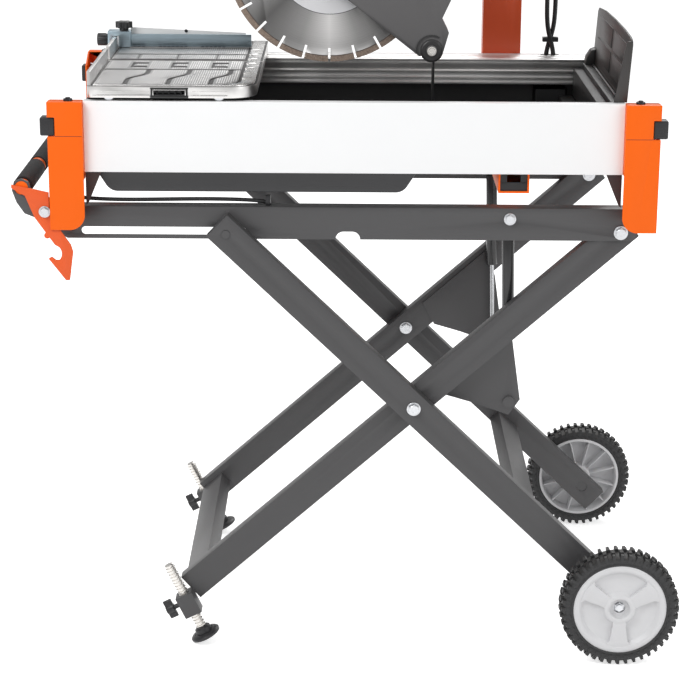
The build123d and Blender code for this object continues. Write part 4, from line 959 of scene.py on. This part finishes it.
# ---- Splash guard.
# Black moulded wall at the wheels' end, leaning outwards, with a broad front lip, a
# panelled inner face and a foot that steps down beside the rail.
splash_low, splash_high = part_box("splash_guard")
guard_plastic = plastic("guard_plastic", (0.010, 0.0095, 0.0095, 1), gloss=0.45, tone=0.2)
lip_plastic = plastic("lip_plastic", (0.034, 0.031, 0.030, 1), gloss=0.42, tone=0.15)
base_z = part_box("corner_brackets_right")[1].z + 0.0003
top_z = splash_high.z
foot_x = splash_high.x - 0.0065
wall_back = splash_high.y
wall_front = splash_low.y
wall_thickness = 0.0034
panel_proud = 0.0044
panel_depth = 0.0016
shape = bmesh.new()


def wall_point(share, depth, inward):
    """Point on the leaning wall: share of its height, y, and distance inwards."""
    lean = foot_x + (splash_high.x - foot_x) * share
    return Vector((lean - inward, depth, base_z + (top_z - base_z) * share))


rear_top = 0.92
profile = [
    (wall_front, 0.0),
    (wall_front, 0.90),
    (wall_front + 0.006, 0.945),
    (wall_front + 0.020, 0.975),
    (wall_front + 0.100, 1.0),
    (wall_back - 0.230, 1.0),
    (wall_back - 0.100, 0.975),
    (wall_back - 0.012, rear_top),
    (wall_back - 0.002, rear_top - 0.06),
    (wall_back, 0.18),
    (wall_back, 0.0),
]
inside = [shape.verts.new(wall_point(share, depth, wall_thickness)) for depth, share in profile]
outside = [shape.verts.new(wall_point(share, depth, 0.0)) for depth, share in profile]
shape.faces.new(inside)
shape.faces.new(outside[::-1])
skin(shape, inside, outside)
panel_start = wall_front + 0.022
span = wall_back - wall_front - 0.05
for start, stop in ((0.0, 0.44), (0.50, 0.96)):
    for low, high in ((0.12, 0.46), (0.52, 0.84)):
        y0 = panel_start + span * start
        y1 = panel_start + span * stop
        corners = [
            wall_point(share, depth, panel_proud)
            for share, depth in ((low, y0), (low, y1), (high, y1), (high, y0))
        ]
        front = [shape.verts.new(corner) for corner in corners]
        back = [shape.verts.new(corner + Vector((panel_depth, 0, 0))) for corner in corners]
        shape.faces.new(front)
        skin(shape, front, back)
face_outwards(shape)
round_edges(shape, 0.0008, 2, 35)
make_piece("splash_wall", shape, guard_plastic, "frame", ("splash_guard",))
shape = bmesh.new()
lip = [
    (foot_x - 0.0215, base_z),
    (foot_x, base_z),
    (splash_high.x - 0.0006, top_z - 0.012),
    (splash_high.x - 0.0030, top_z - 0.006),
    (splash_high.x - 0.0100, top_z - 0.007),
    (splash_high.x - 0.0125, top_z - 0.016),
]
spoke_block(shape, lip, wall_front - 0.0004, wall_front + 0.004)
round_edges(shape, 0.0012, 3, 35)
make_piece("splash_lip", shape, lip_plastic, "frame")
shape = bmesh.new()
block(shape, (foot_x - 0.0034, -0.218, splash_low.z), (foot_x, wall_back, base_z + 0.001))
foot_step = [
    (foot_x - 0.020, base_z - 0.006),
    (foot_x - 0.002, base_z - 0.006),
    (foot_x - 0.002, base_z + 0.024),
    (foot_x - 0.010, base_z + 0.021),
    (foot_x - 0.018, base_z + 0.008),
]
spoke_block(shape, foot_step, wall_back - 0.030, wall_back)
round_edges(shape, 0.001, 2, 35)
make_piece("splash_foot", shape, guard_plastic, "frame")

# ---- Cart.
# Cast aluminium table with raised ribbed fields between drained channels, their floor painted
# dark for the shade in them, a rolled front-right corner with a notched rim, a backstop, and
# a black moulded handle recess.
cart_low, cart_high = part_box("cart_table")
backstop_height = 0.020
bed_z = cart_high.z - backstop_height
deck_drop = 0.0022
cart_cast = metal("cart_cast", (0.36, 0.355, 0.355, 1), (220, 220, 220), gloss=0.44, tone=0.4, bump=0.45)
rib_cast = metal("rib_cast", (0.74, 0.73, 0.72, 1), (220, 220, 220), gloss=0.32, tone=0.4, bump=0.3)
# Near-black coat for the channel floor: painted shade in the channels.
channel_shade_paint = coated("channel_shade_paint", (0.050, 0.048, 0.048, 1), gloss=0.62, tone=0.4)
skirt_cast = metal("skirt_cast", (0.70, 0.69, 0.68, 1), (60, 60, 60), gloss=0.34, tone=0.3, bump=0.35)
shape = whole_shape("cart_table")
for vert in shape.verts:
    if bed_z - 0.0015 < vert.co.z < bed_z + 0.0002:
        vert.co.z = bed_z - deck_drop
round_edges(shape, 0.0016, 3, 40)
casting = make_piece("cart_casting", shape, skirt_cast, "cart", ("cart_table",))
casting.data.materials.append(channel_shade_paint)
# Deck faces inside the rim take the painted shade of the channels.
for polygon in casting.data.polygons:
    inside_rim = polygon.center.x < cart_high.x - 0.020 and polygon.center.y > cart_low.y + 0.0115
    if abs(polygon.center.z - bed_z + deck_drop) < 0.0006 and polygon.normal.z > 0.9 and inside_rim:
        polygon.material_index = 1
front = cart_low.y
right = cart_high.x
left = cart_low.x + 0.006
corner = 0.045
field_front = front + 0.014
field_left = left + 0.004
field_right = right - 0.031
rib_half = 0.0009
ribs = bmesh.new()


def field(shape, left_edge, right_edge, y0, y1, steps=10, pitch=0.0037):
    """Ribbed field between two edges that are functions of y."""
    ys = [y0 + (y1 - y0) * step / steps for step in range(steps + 1)]
    outline = [(left_edge(y), y) for y in ys] + [(right_edge(y), y) for y in reversed(ys)]
    lower = [shape.verts.new((x, y, bed_z - deck_drop)) for x, y in outline]
    upper = [shape.verts.new((x, y, bed_z - 0.0006)) for x, y in outline]
    shape.faces.new(upper)
    skin(shape, upper, lower)
    x = min(left_edge(y) for y in ys) + pitch / 2
    while x < max(right_edge(y) for y in ys):
        inside = [y for y in ys if left_edge(y) + 0.001 < x - 0.001 and x + 0.001 < right_edge(y) - 0.001]
        if len(inside) > 1:
            block(
                ribs,
                (x - rib_half, inside[0] + 0.0015, bed_z - 0.0008),
                (x + rib_half, inside[-1] - 0.0015, bed_z),
            )
        x += pitch


def straight(x):
    """Edge at a constant x."""
    return lambda y: x


def wave(x):
    """Edge with a soft step towards the right half way back."""
    return lambda y: x + 0.013 * sin(max(-pi / 2, min(pi / 2, (y + 0.178) * 48)))


def rim_edge(y):
    """Inner side of the curved groove along the front-right corner."""
    reach = corner - 0.006
    if y < field_front + reach:
        share = (field_front + reach - y) / reach
        return field_right - reach * (1 - (max(0.0, 1 - share * share)) ** 0.5)
    return field_right


shape = bmesh.new()
splits = [field_left, left + 0.066, left + 0.134, left + 0.202]
for index, start in enumerate(splits):
    left_side = straight(start) if index == 0 else wave(start + 0.004)
    right_side = wave(splits[index + 1] - 0.004) if index + 1 < len(splits) else rim_edge
    field(shape, left_side, right_side, field_front, -0.112, 16)
edge = field_left
middle = -0.057
half = 0.045
letters = (left + 0.055, left + 0.122, left + 0.190)
for centre in letters:
    inner = straight(centre - 0.0105)
    outer = straight(centre + 0.017)
    field(shape, straight(edge), inner, middle - half, middle + half, 4)
    field(shape, inner, outer, middle + half * 0.62, middle + half, 3)
    field(shape, inner, outer, middle - half, middle - half * 0.62, 3)
    field(shape, straight(centre - 0.0055), outer, middle - half * 0.24, middle + half * 0.24, 3)
    edge = centre + 0.017
field(shape, straight(edge), straight(field_right), middle - half, middle + half, 4)
edge = field_left
for centre in letters:
    field(shape, straight(edge), straight(centre - 0.008), 0.012, 0.060, 4)
    edge = centre - 0.006
field(shape, straight(edge), straight(field_right), 0.012, 0.060, 4)
for y0, y1 in ((0.070, 0.140), (0.176, cart_high.y - 0.008)):
    field(shape, straight(field_left), straight(right - 0.030), y0, y1, 4)
face_outwards(shape)
make_piece("cart_fields", shape, cart_cast, "cart")
face_outwards(ribs)
make_piece("cart_ribs", ribs, rib_cast, "cart")
shape = bmesh.new()
rim_steps = 12
front_inset = 0.0115


def rim_outline(inset_out, inset_in, turn_radius):
    """Band that follows the cart's right edge and its front-right corner."""
    centre_x = right - turn_radius
    centre_y = front + turn_radius
    outer = [(right - inset_out, cart_high.y - 0.010)]
    inner = [(right - inset_in, cart_high.y - 0.010)]
    for step in range(rim_steps + 1):
        angle = -radians(90) * step / rim_steps
        for points, inset in ((outer, inset_out), (inner, inset_in)):
            radius = turn_radius - inset
            points.append((centre_x + radius * cos(angle), centre_y + radius * sin(angle)))
    outer.append((field_left, front + inset_out))
    inner.append((field_left, front + min(inset_in, front_inset)))
    inner[-2] = (centre_x, front + min(inset_in, front_inset))
    return outer + inner[::-1]


band = rim_outline(0.0035, 0.0255, corner)
lower = [shape.verts.new((x, y, bed_z - deck_drop)) for x, y in band]
upper = [shape.verts.new((x, y, bed_z)) for x, y in band]
shape.faces.new(upper)
skin(shape, upper, lower)
notch_pitch = 0.052
notch_length = 0.014
for step in range(7):
    notch_y = front + 0.075 + step * notch_pitch
    block(
        shape,
        (right - 0.0260, notch_y, bed_z - 0.001),
        (right - 0.010, notch_y + notch_length, bed_z + 0.0010),
    )
face_outwards(shape)
round_edges(shape, 0.0006, 2, 40)
polished_cast = metal(
    "polished_cast",
    (0.66, 0.65, 0.64, 1),
    (60, 60, 60),
    gloss=0.26,
    tone=0.22,
    bump=0.2,
)
make_piece("cart_rim", shape, polished_cast, "cart")
bead_rows = ((0.9425, 0.9468, 0.0006), (0.9512, 0.9522, 0.0004))
recess_left = -0.3245
recess_right = -0.2625
shape = bmesh.new()
for low_z, high_z, proud in bead_rows:
    for x0, x1 in ((cart_low.x + 0.010, recess_left), (recess_right, right - corner)):
        block(shape, (x0, front - proud, low_z), (x1, front + 0.001, high_z))
round_edges(shape, 0.0003, 2, 40)
make_piece("cart_skirt_beads", shape, polished_cast, "cart")
handle_gloss = plastic("handle_gloss", (0.015, 0.015, 0.016, 1), gloss=0.16, dust=0.0)
rounded_from_frame("cart_handle", handle_gloss, 0.0008)
recess_low, recess_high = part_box("cart_handle")
shape = bmesh.new()
for step in range(5):
    x = recess_low.x + 0.009 + step * 0.0095
    block(
        shape,
        (x, recess_low.y + 0.003, recess_low.z + 0.002),
        (x + 0.0016, recess_high.y - 0.002, recess_high.z - 0.0045),
    )
for low_z, high_z in (
    (recess_low.z - 0.0035, recess_low.z + 0.0006),
    (recess_high.z - 0.0006, recess_high.z + 0.0018),
):
    block(
        shape,
        (recess_low.x - 0.001, recess_low.y - 0.0008, low_z),
        (recess_high.x + 0.001, recess_low.y + 0.002, high_z),
    )
round_edges(shape, 0.0005, 2, 40)
make_piece("cart_handle_ribs", shape, handle_gloss, "cart")
# Thin bright strips at the recess's inner edges and along its top: painted highlights.
glint_front = recess_low.y - 0.0003
glint_back = recess_low.y + 0.002
shape = bmesh.new()
for x in (recess_low.x + 0.0030, recess_high.x - 0.0042):
    block(shape, (x, glint_front, recess_low.z + 0.0010), (x + 0.0012, glint_back, recess_high.z - 0.001))
block(
    shape,
    (recess_low.x + 0.0030, glint_front, recess_high.z - 0.0022),
    (recess_high.x - 0.0030, glint_back, recess_high.z - 0.0014),
)
round_edges(shape, 0.0002, 2, 40)
make_piece("cart_handle_painted_glints", shape, polished_cast, "cart")
for side in ("left", "right"):
    rounded_from_frame("cart_roller_" + side, zinc, 0.0008)

# ---- Rip guide.
# Bluish zinc-plated fence with a foot strip whose slots are black marks of painted shade, a
# bright wedge plate behind it, clamped over the backstop by black star and side knobs.
guide_zinc = metal("guide_zinc", (0.40, 0.50, 0.56, 1), (14, 500, 260), gloss=0.34, tone=0.5)
rounded_from_frame("rip_guide", guide_zinc, 0.0007)
guide_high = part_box("rip_guide")[1]
fence_y = 0.150
slot_pitch = 0.0075
slot_length = 0.0052
wedge_left = -0.396
wedge_right = guide_high.x - 0.010
wedge_screw_x = -0.298
shape = bmesh.new()
block(
    shape,
    (left + 0.022, fence_y - 0.0150, bed_z + 0.0004),
    (guide_high.x - 0.004, fence_y + 0.0005, bed_z + 0.0018),
)
make_piece("guide_foot", shape, cart_cast, "rip_guide")
# Black marks on the foot strip for its slots: painted shade in place of holes.
shape = bmesh.new()
slot_x = left + 0.028
while slot_x < guide_high.x - 0.02:
    if int((slot_x - left) / 0.024) % 3 != 2:
        block(
            shape,
            (slot_x, fence_y - 0.0125, bed_z + 0.0016),
            (slot_x + slot_length, fence_y - 0.0020, bed_z + 0.0021),
        )
    slot_x += slot_pitch
make_piece("guide_slot_shade", shape, screw_black, "rip_guide")
wedge_plate = coated("wedge_plate", (0.80, 0.81, 0.81, 1), gloss=0.3, dust=0.0)
shape = bmesh.new()
wedge = [
    (wedge_left, guide_high.z + 0.0035),
    (wedge_left, guide_high.z + 0.0055),
    (wedge_right, guide_high.z - 0.0035),
    (wedge_right, guide_high.z - 0.0065),
    (wedge_left, guide_high.z - 0.012),
]
spoke_block(shape, wedge, fence_y + 0.0062, fence_y + 0.0076)
make_piece("guide_wedge", shape, wedge_plate, "rip_guide")
shape = bmesh.new()
turned(
    shape,
    [(0.0004, fence_y + 0.0040), (0.0026, fence_y + 0.0042), (0.0030, fence_y + 0.0064)],
    wedge_screw_x,
    guide_high.z - 0.0005,
    20,
)
make_piece("wedge_screw", shape, screw_black, "rip_guide")
rounded_from_frame("guide_side_knob", black_plastic, 0.0015, 3)
rounded_from_frame("guide_star_knob", black_plastic, 0.0018, 3)
shape = bmesh.new()
knob_low, knob_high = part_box("guide_side_knob")
knob_mid = (knob_low + knob_high) / 2
lobes = 8
lobe_reach = 0.0085
lobe_radius = 0.0026
lobe_length = 0.0155
for lobe in range(lobes):
    angle = lobe * 2 * pi / lobes
    lobe_y = knob_mid.y + lobe_reach * cos(angle)
    lobe_z = knob_mid.z + lobe_reach * sin(angle)
    place = Matrix.Translation((knob_low.x + 0.0085, lobe_y, lobe_z))
    bmesh.ops.create_cone(
        shape,
        cap_ends=True,
        segments=14,
        radius1=lobe_radius,
        radius2=lobe_radius,
        depth=lobe_length,
        matrix=place @ Matrix.Rotation(radians(90), 4, "Y"),
    )
round_edges(shape, 0.0006, 2, 40)
make_piece("side_knob_lobes", shape, black_plastic, "guide_side_knob")

# ---- Cross channel, column and shaft.
# Orange channel under the table with a black sheet in its mouth as painted shade inside it,
# and the box column on its rear end, orange darkened to rust red for painted shade, that
# carries the head's shaft.
rounded_from_frame("cross_channel", orange_coat, 0.001, 2)
channel_low, channel_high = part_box("cross_channel")
sheet = 0.0028
notch = 0.011
notch_z = channel_high.z - 0.018
channel_mid = (channel_low.x + channel_high.x) / 2
# Black sheet in the channel's mouth: painted shade for the inside of the channel.
shade_sheet_front = channel_low.y + 0.004
shade_sheet_back = channel_low.y + 0.010
shape = bmesh.new()
for x0, z0, x1, z1 in (
    (channel_low.x + sheet, channel_low.z + sheet, channel_high.x - sheet, notch_z + 0.001),
    (channel_low.x + sheet, notch_z, channel_mid - notch, channel_high.z - sheet),
    (channel_mid + notch, notch_z, channel_high.x - sheet, channel_high.z - sheet),
):
    block(shape, (x0, shade_sheet_front, z0), (x1, shade_sheet_back, z1))
make_piece("channel_shade_sheet", shape, pump_black, "frame")
# Orange darkened to a rust red: painted shade on the column behind the head.
column_shaded_orange = coated("column_shaded_orange", (0.78, 0.115, 0.040, 1), gloss=0.30, tone=0.2, peel=500.0)
rounded_from_frame("column", column_shaded_orange, 0.0025, 3)
rounded_from_frame("head_shaft", zinc, 0.001)

# ---- Head arm and motor.
# Cast arm in orange, a finned motor in dark grey and its black fan cover with a grille
# of rings and spokes.
rounded_from_frame("head_arm", orange_coat, 0.003, 3)
motor_coat = coated("motor_coat", (0.10, 0.10, 0.105, 1), gloss=0.45)
rounded_from_frame("motor", motor_coat, 0.0015, 3)
rounded_from_frame("motor_cover", black_plastic, 0.003, 3)
arbor = Vector(joints["blade_spin"]["pos_m"])
cover_low, cover_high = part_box("motor_cover")
fins = 36
fin_low = 0.118
fin_high = cover_low.y - 0.004
fin_root = 0.066 - 0.0012
fin_tip = 0.066 + 0.0032


def radial_bar(shape, centre, degrees, ends, y0, y1):
    """Bar that points away from a centre, from its (reach, half width) ends."""
    angle = radians(degrees)
    (near, near_half), (far, far_half) = ends
    corners = []
    for reach, across in ((near, -near_half), (near, near_half), (far, far_half), (far, -far_half)):
        x = centre.x + reach * cos(angle) - across * sin(angle)
        z = centre.z + reach * sin(angle) + across * cos(angle)
        corners.append((x, z))
    spoke_block(shape, corners, y0, y1)


shape = bmesh.new()
for fin in range(fins):
    radial_bar(shape, arbor, 360 / fins * fin, ((fin_root, 0.0012), (fin_tip, 0.0008)), fin_low, fin_high)
make_piece("motor_fins", shape, motor_coat, "head")
cover_mid = (cover_low + cover_high) / 2
cover_radius = min(cover_high.x - cover_low.x, cover_high.z - cover_low.z) / 2
grille_sunk = cover_high.y - 0.0004
grille_proud = cover_high.y + 0.0008
shape = bmesh.new()
for ring in range(1, 5):
    radius = cover_radius * ring / 5.4
    turned(
        shape,
        [
            (radius - 0.0016, grille_sunk),
            (radius - 0.0012, grille_proud),
            (radius + 0.0012, grille_proud),
            (radius + 0.0016, grille_sunk),
        ],
        cover_mid.x,
        cover_mid.z,
        64,
    )
for spoke in range(8):
    ends = ((0.012, 0.002), (cover_radius * 0.8, 0.002))
    radial_bar(shape, cover_mid, 22.5 + 45 * spoke, ends, grille_sunk, cover_high.y + 0.0012)
make_piece("motor_grille", shape, screw_black, "head")

# ---- Blade guard.
# Pressed steel hood in dark grey with small screws round it, and a bright bolt on a disc
# at its nose inside a curved rib. The soft flap behind the cut gets a mesh of its own.
guard_coat = coated("guard_coat", (0.115, 0.112, 0.114, 1), gloss=0.36, tone=0.2)
rounded_from_frame("blade_guard", guard_coat, 0.0012, 3)
nose = arbor + Vector((0.1733, 0, -0.1510))
face_y = -0.031
rib_inner = 0.0255 - 0.0016
rib_outer = 0.0255 + 0.0016
shape = bmesh.new()
turned(
    shape,
    [
        (0.0170, face_y - 0.0036),
        (0.0190, face_y - 0.0030),
        (0.0196, face_y - 0.0012),
        (0.0196, face_y + 0.0004),
    ],
    nose.x,
    nose.z,
    64,
)
for start in range(60, 190, 10):
    corners = [
        polar(nose, rib_inner, start),
        polar(nose, rib_outer, start),
        polar(nose, rib_outer, start + 10),
        polar(nose, rib_inner, start + 10),
    ]
    spoke_block(shape, corners, face_y - 0.0022, face_y + 0.0002)
turned(
    shape,
    [
        (0.0075, face_y - 0.0040),
        (0.0160, face_y - 0.0044),
        (0.0174, face_y - 0.0034),
        (0.0174, face_y - 0.0004),
    ],
    nose.x,
    nose.z,
    64,
)
nose_coat = coated("nose_coat", (0.030, 0.029, 0.030, 1), gloss=0.34, tone=0.2)
make_piece("guard_nose_rib", shape, nose_coat, "head")
shape = bmesh.new()
bolt_head(shape, nose.x, nose.z, face_y - 0.0088, -1, 0.0065)
make_piece("guard_nose_bolt", shape, bright_zinc, "head")
screw_reach = 0.197
screw_face = 0.0308
shape = bmesh.new()
for degrees in (25, 60, 95, 130, 160):
    x, z = polar(arbor, screw_reach, degrees)
    for side in (-1, 1):
        bolt_head(shape, x, z, side * screw_face, side, 0.0045)
make_piece("guard_screws", shape, zinc, "head")
rounded_from_frame("head_handle", foam, 0.003, 3)
rounded_from_frame("head_lock_knob", black_plastic, 0.002, 3)
flap_rubber = plastic("flap_rubber", (0.010, 0.010, 0.011, 1), gloss=0.5)
flap = rounded_from_frame("splash_flap", flap_rubber, 0.0005)
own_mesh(flap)

# ---- Blade and spindle.
# Ground steel core with concentric grain and a radial painted sheen set by the angle round
# the arbor, brown sintered diamond segments on its teeth, a bare white disc print in the
# middle and turned clamping flanges.
core_radius = 0.165
disc_radius = 0.095
disc_white = (0.78, 0.78, 0.80, 1)
disc_line = (0.08, 0.08, 0.09, 1)
braze_brown = (0.09, 0.07, 0.06, 1)
segment_dark = (0.07, 0.042, 0.030, 1)
segment_light = (0.46, 0.36, 0.29, 1)
# Brightness of the painted sheen at shares of a half turn round the arbor.
painted_sheen_marks = (
    (0.0, 0.80),
    (0.055, 0.36),
    (0.13, 0.13),
    (0.21, 0.42),
    (0.30, 0.62),
    (0.42, 0.28),
    (0.5, 0.40),
)


def blade_finish():
    """Steel whose grain runs round the arbor, with a painted sheen set by the angle round it, and the segments and
    the disc by radius.
    """
    finish = bpy.data.materials.new("blade_finish")
    finish.use_nodes = True
    tree = finish.node_tree
    shader = tree.nodes["Principled BSDF"]
    place = tree.nodes.new("ShaderNodeTexCoord").outputs["Object"]
    arm = maths(tree, "SUBTRACT", place, tuple(arbor), kind="ShaderNodeVectorMath")
    flat = maths(tree, "MULTIPLY", arm, (1, 0, 1), kind="ShaderNodeVectorMath")
    length = tree.nodes.new("ShaderNodeVectorMath")
    length.operation = "LENGTH"
    feed(tree, length.inputs[0], flat)
    reach = length.outputs["Value"]
    around = tree.nodes.new("ShaderNodeTexNoise")
    around.noise_dimensions = "1D"
    around.inputs["Scale"].default_value = 900
    around.inputs["Detail"].default_value = 5
    feed(tree, around.inputs["W"], reach)
    grit = noise(tree, place, 420, 3)
    # Painted sheen: brightness set by the angle round the arbor, fixed on the blade.
    bearing = tree.nodes.new("ShaderNodeSeparateXYZ")
    feed(tree, bearing.inputs[0], flat)
    heading = maths(tree, "ARCTAN2", bearing.outputs["X"], bearing.outputs["Z"])
    turned_share = maths(tree, "MULTIPLY_ADD", heading, 1 / (2 * pi), 0.5)
    folded = maths(tree, "PINGPONG", turned_share, 0.5)
    painted_sheen = tree.nodes.new("ShaderNodeValToRGB")
    ramp = painted_sheen.color_ramp
    ramp.elements[0].position = painted_sheen_marks[0][0]
    ramp.elements[1].position = painted_sheen_marks[-1][0]
    for mark, _ in painted_sheen_marks[1:-1]:
        ramp.elements.new(mark)
    for element, (_, level) in zip(ramp.elements, painted_sheen_marks):
        element.color = (level, level * 0.985, level * 0.975, 1)
    feed(tree, painted_sheen.inputs["Fac"], folded)
    lined = maths(tree, "MULTIPLY_ADD", around.outputs["Fac"], 0.35, 0.82)
    steel_with_painted_sheen = dimmed(tree, painted_sheen.outputs["Color"], lined)
    segment = blend(tree, segment_dark, segment_light, grit)

    def beyond(limit):
        """One past a radius, nought within it."""
        return maths(tree, "GREATER_THAN", reach, limit)

    colour = blend(tree, disc_white, disc_line, beyond(disc_radius - 0.0012))
    colour = blend(tree, colour, steel_with_painted_sheen, beyond(disc_radius))
    colour = blend(tree, colour, braze_brown, beyond(core_radius - 0.0008))
    colour = blend(tree, colour, segment, beyond(core_radius + 0.0006))
    feed(tree, shader.inputs["Base Color"], colour)
    core = maths(tree, "SUBTRACT", beyond(disc_radius), beyond(core_radius))
    feed(tree, shader.inputs["Metallic"], maths(tree, "MULTIPLY", core, 0.55))
    shader.inputs["Roughness"].default_value = 0.42
    relief = tree.nodes.new("ShaderNodeBump")
    relief.inputs["Strength"].default_value = 0.12
    relief.inputs["Distance"].default_value = 0.0002
    feed(tree, relief.inputs["Height"], around.outputs["Fac"])
    feed(tree, shader.inputs["Normal"], relief.outputs[0])
    return finish


rounded_from_frame("blade", blade_finish(), 0.00025, 1)
rounded_from_frame("spindle", zinc, 0.0012, 3)

# ---- Switch box.
# Black moulded box closed by four bright lid screws, with a green start button and a red
# stop button in its face.
rounded_from_frame("switch_box", black_plastic, 0.0035, 4)
box_low, box_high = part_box("switch_box")
screw_in = 0.010
screw_top = box_low.y - 0.0012
screw_profile = [(0.0004, screw_top), (0.0030, screw_top), (0.0036, box_low.y + 0.0006)]
shape = bmesh.new()
for x in (box_low.x + screw_in, box_high.x - screw_in):
    for z in (box_low.z + screw_in, box_high.z - screw_in):
        turned(shape, screw_profile, x, z, 24)
make_piece("switch_screws", shape, bright_zinc, "frame")
rounded_from_frame("start_button", plastic("start_green", (0.02, 0.3, 0.06, 1), gloss=0.3), 0.0025, 4)
rounded_from_frame("stop_button", plastic("stop_red", (0.6, 0.015, 0.012, 1), gloss=0.3), 0.0025, 4)

# ---- Pump lines and release cable.
# Rubber-sheathed lines from the head down behind the rail, held crossed by a tie, and the
# handle's release cable that bows slightly under the table. Moulded clips hold both.
line_rubber = plastic("line_rubber", (0.012, 0.012, 0.013, 1), gloss=0.45)
rounded_from_frame("line_clips", black_plastic, 0.0006)


def tube(shape, path, radius, sides=14):
    """Round tube along a list of points, closed at both ends."""
    rings = []
    for index, point in enumerate(path):
        before = path[max(0, index - 1)]
        after = path[min(len(path) - 1, index + 1)]
        direction = (Vector(after) - Vector(before)).normalized()
        if rings:
            across = (across - direction * across.dot(direction)).normalized()
        else:
            across = direction.orthogonal().normalized()
        other = direction.cross(across)
        ring = []
        for side in range(sides):
            angle = 2 * pi * side / sides
            outward = across * cos(angle) + other * sin(angle)
            ring.append(shape.verts.new(Vector(point) + outward * radius))
        rings.append(ring)
    for low_ring, high_ring in zip(rings, rings[1:]):
        for side in range(sides):
            after = (side + 1) % sides
            shape.faces.new((low_ring[side], low_ring[after], high_ring[after], high_ring[side]))
    shape.faces.new(rings[0][::-1])
    shape.faces.new(rings[-1])


lines_low, lines_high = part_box("pump_lines")
tie_z = 0.964
tie_spread = 0.028
line_radius = 0.0042
line_steps = 100
shape = bmesh.new()
for side in (-1, 1):
    start_x = (lines_low.x if side < 0 else lines_high.x) - side * line_radius
    middle_x = (lines_low.x + lines_high.x) / 2
    sideways = start_x - middle_x
    depth = (lines_low.y + lines_high.y) / 2 + side * line_radius
    path = []
    for step in range(line_steps + 1):
        z = lines_low.z + (lines_high.z - lines_low.z) * step / line_steps
        swing = tanh((z - tie_z) / tie_spread)
        path.append((middle_x + sideways * swing, depth, z))
    tube(shape, path, line_radius)
face_outwards(shape)
make_piece("pump_lines_crossed", shape, line_rubber, "frame", ("pump_lines",))
cable_low, cable_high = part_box("release_cable")
cable_y = (cable_low.y + cable_high.y) / 2
cable_span = cable_high.x - cable_low.x
cable_radius = 0.0032
cable_steps = 48
handle_rise = 0.014
bow = 0.009
shape = bmesh.new()
path = []
for step in range(cable_steps + 1):
    share = step / cable_steps
    lift = handle_rise * (1 - share) ** 6 + bow * sin(pi * share) ** 0.5 * share
    path.append((cable_low.x + cable_span * share, cable_y, cable_low.z + 0.0035 + lift))
tube(shape, path, cable_radius)
face_outwards(shape)
make_piece("release_cable_laid", shape, line_rubber, "frame", ("release_cable",))
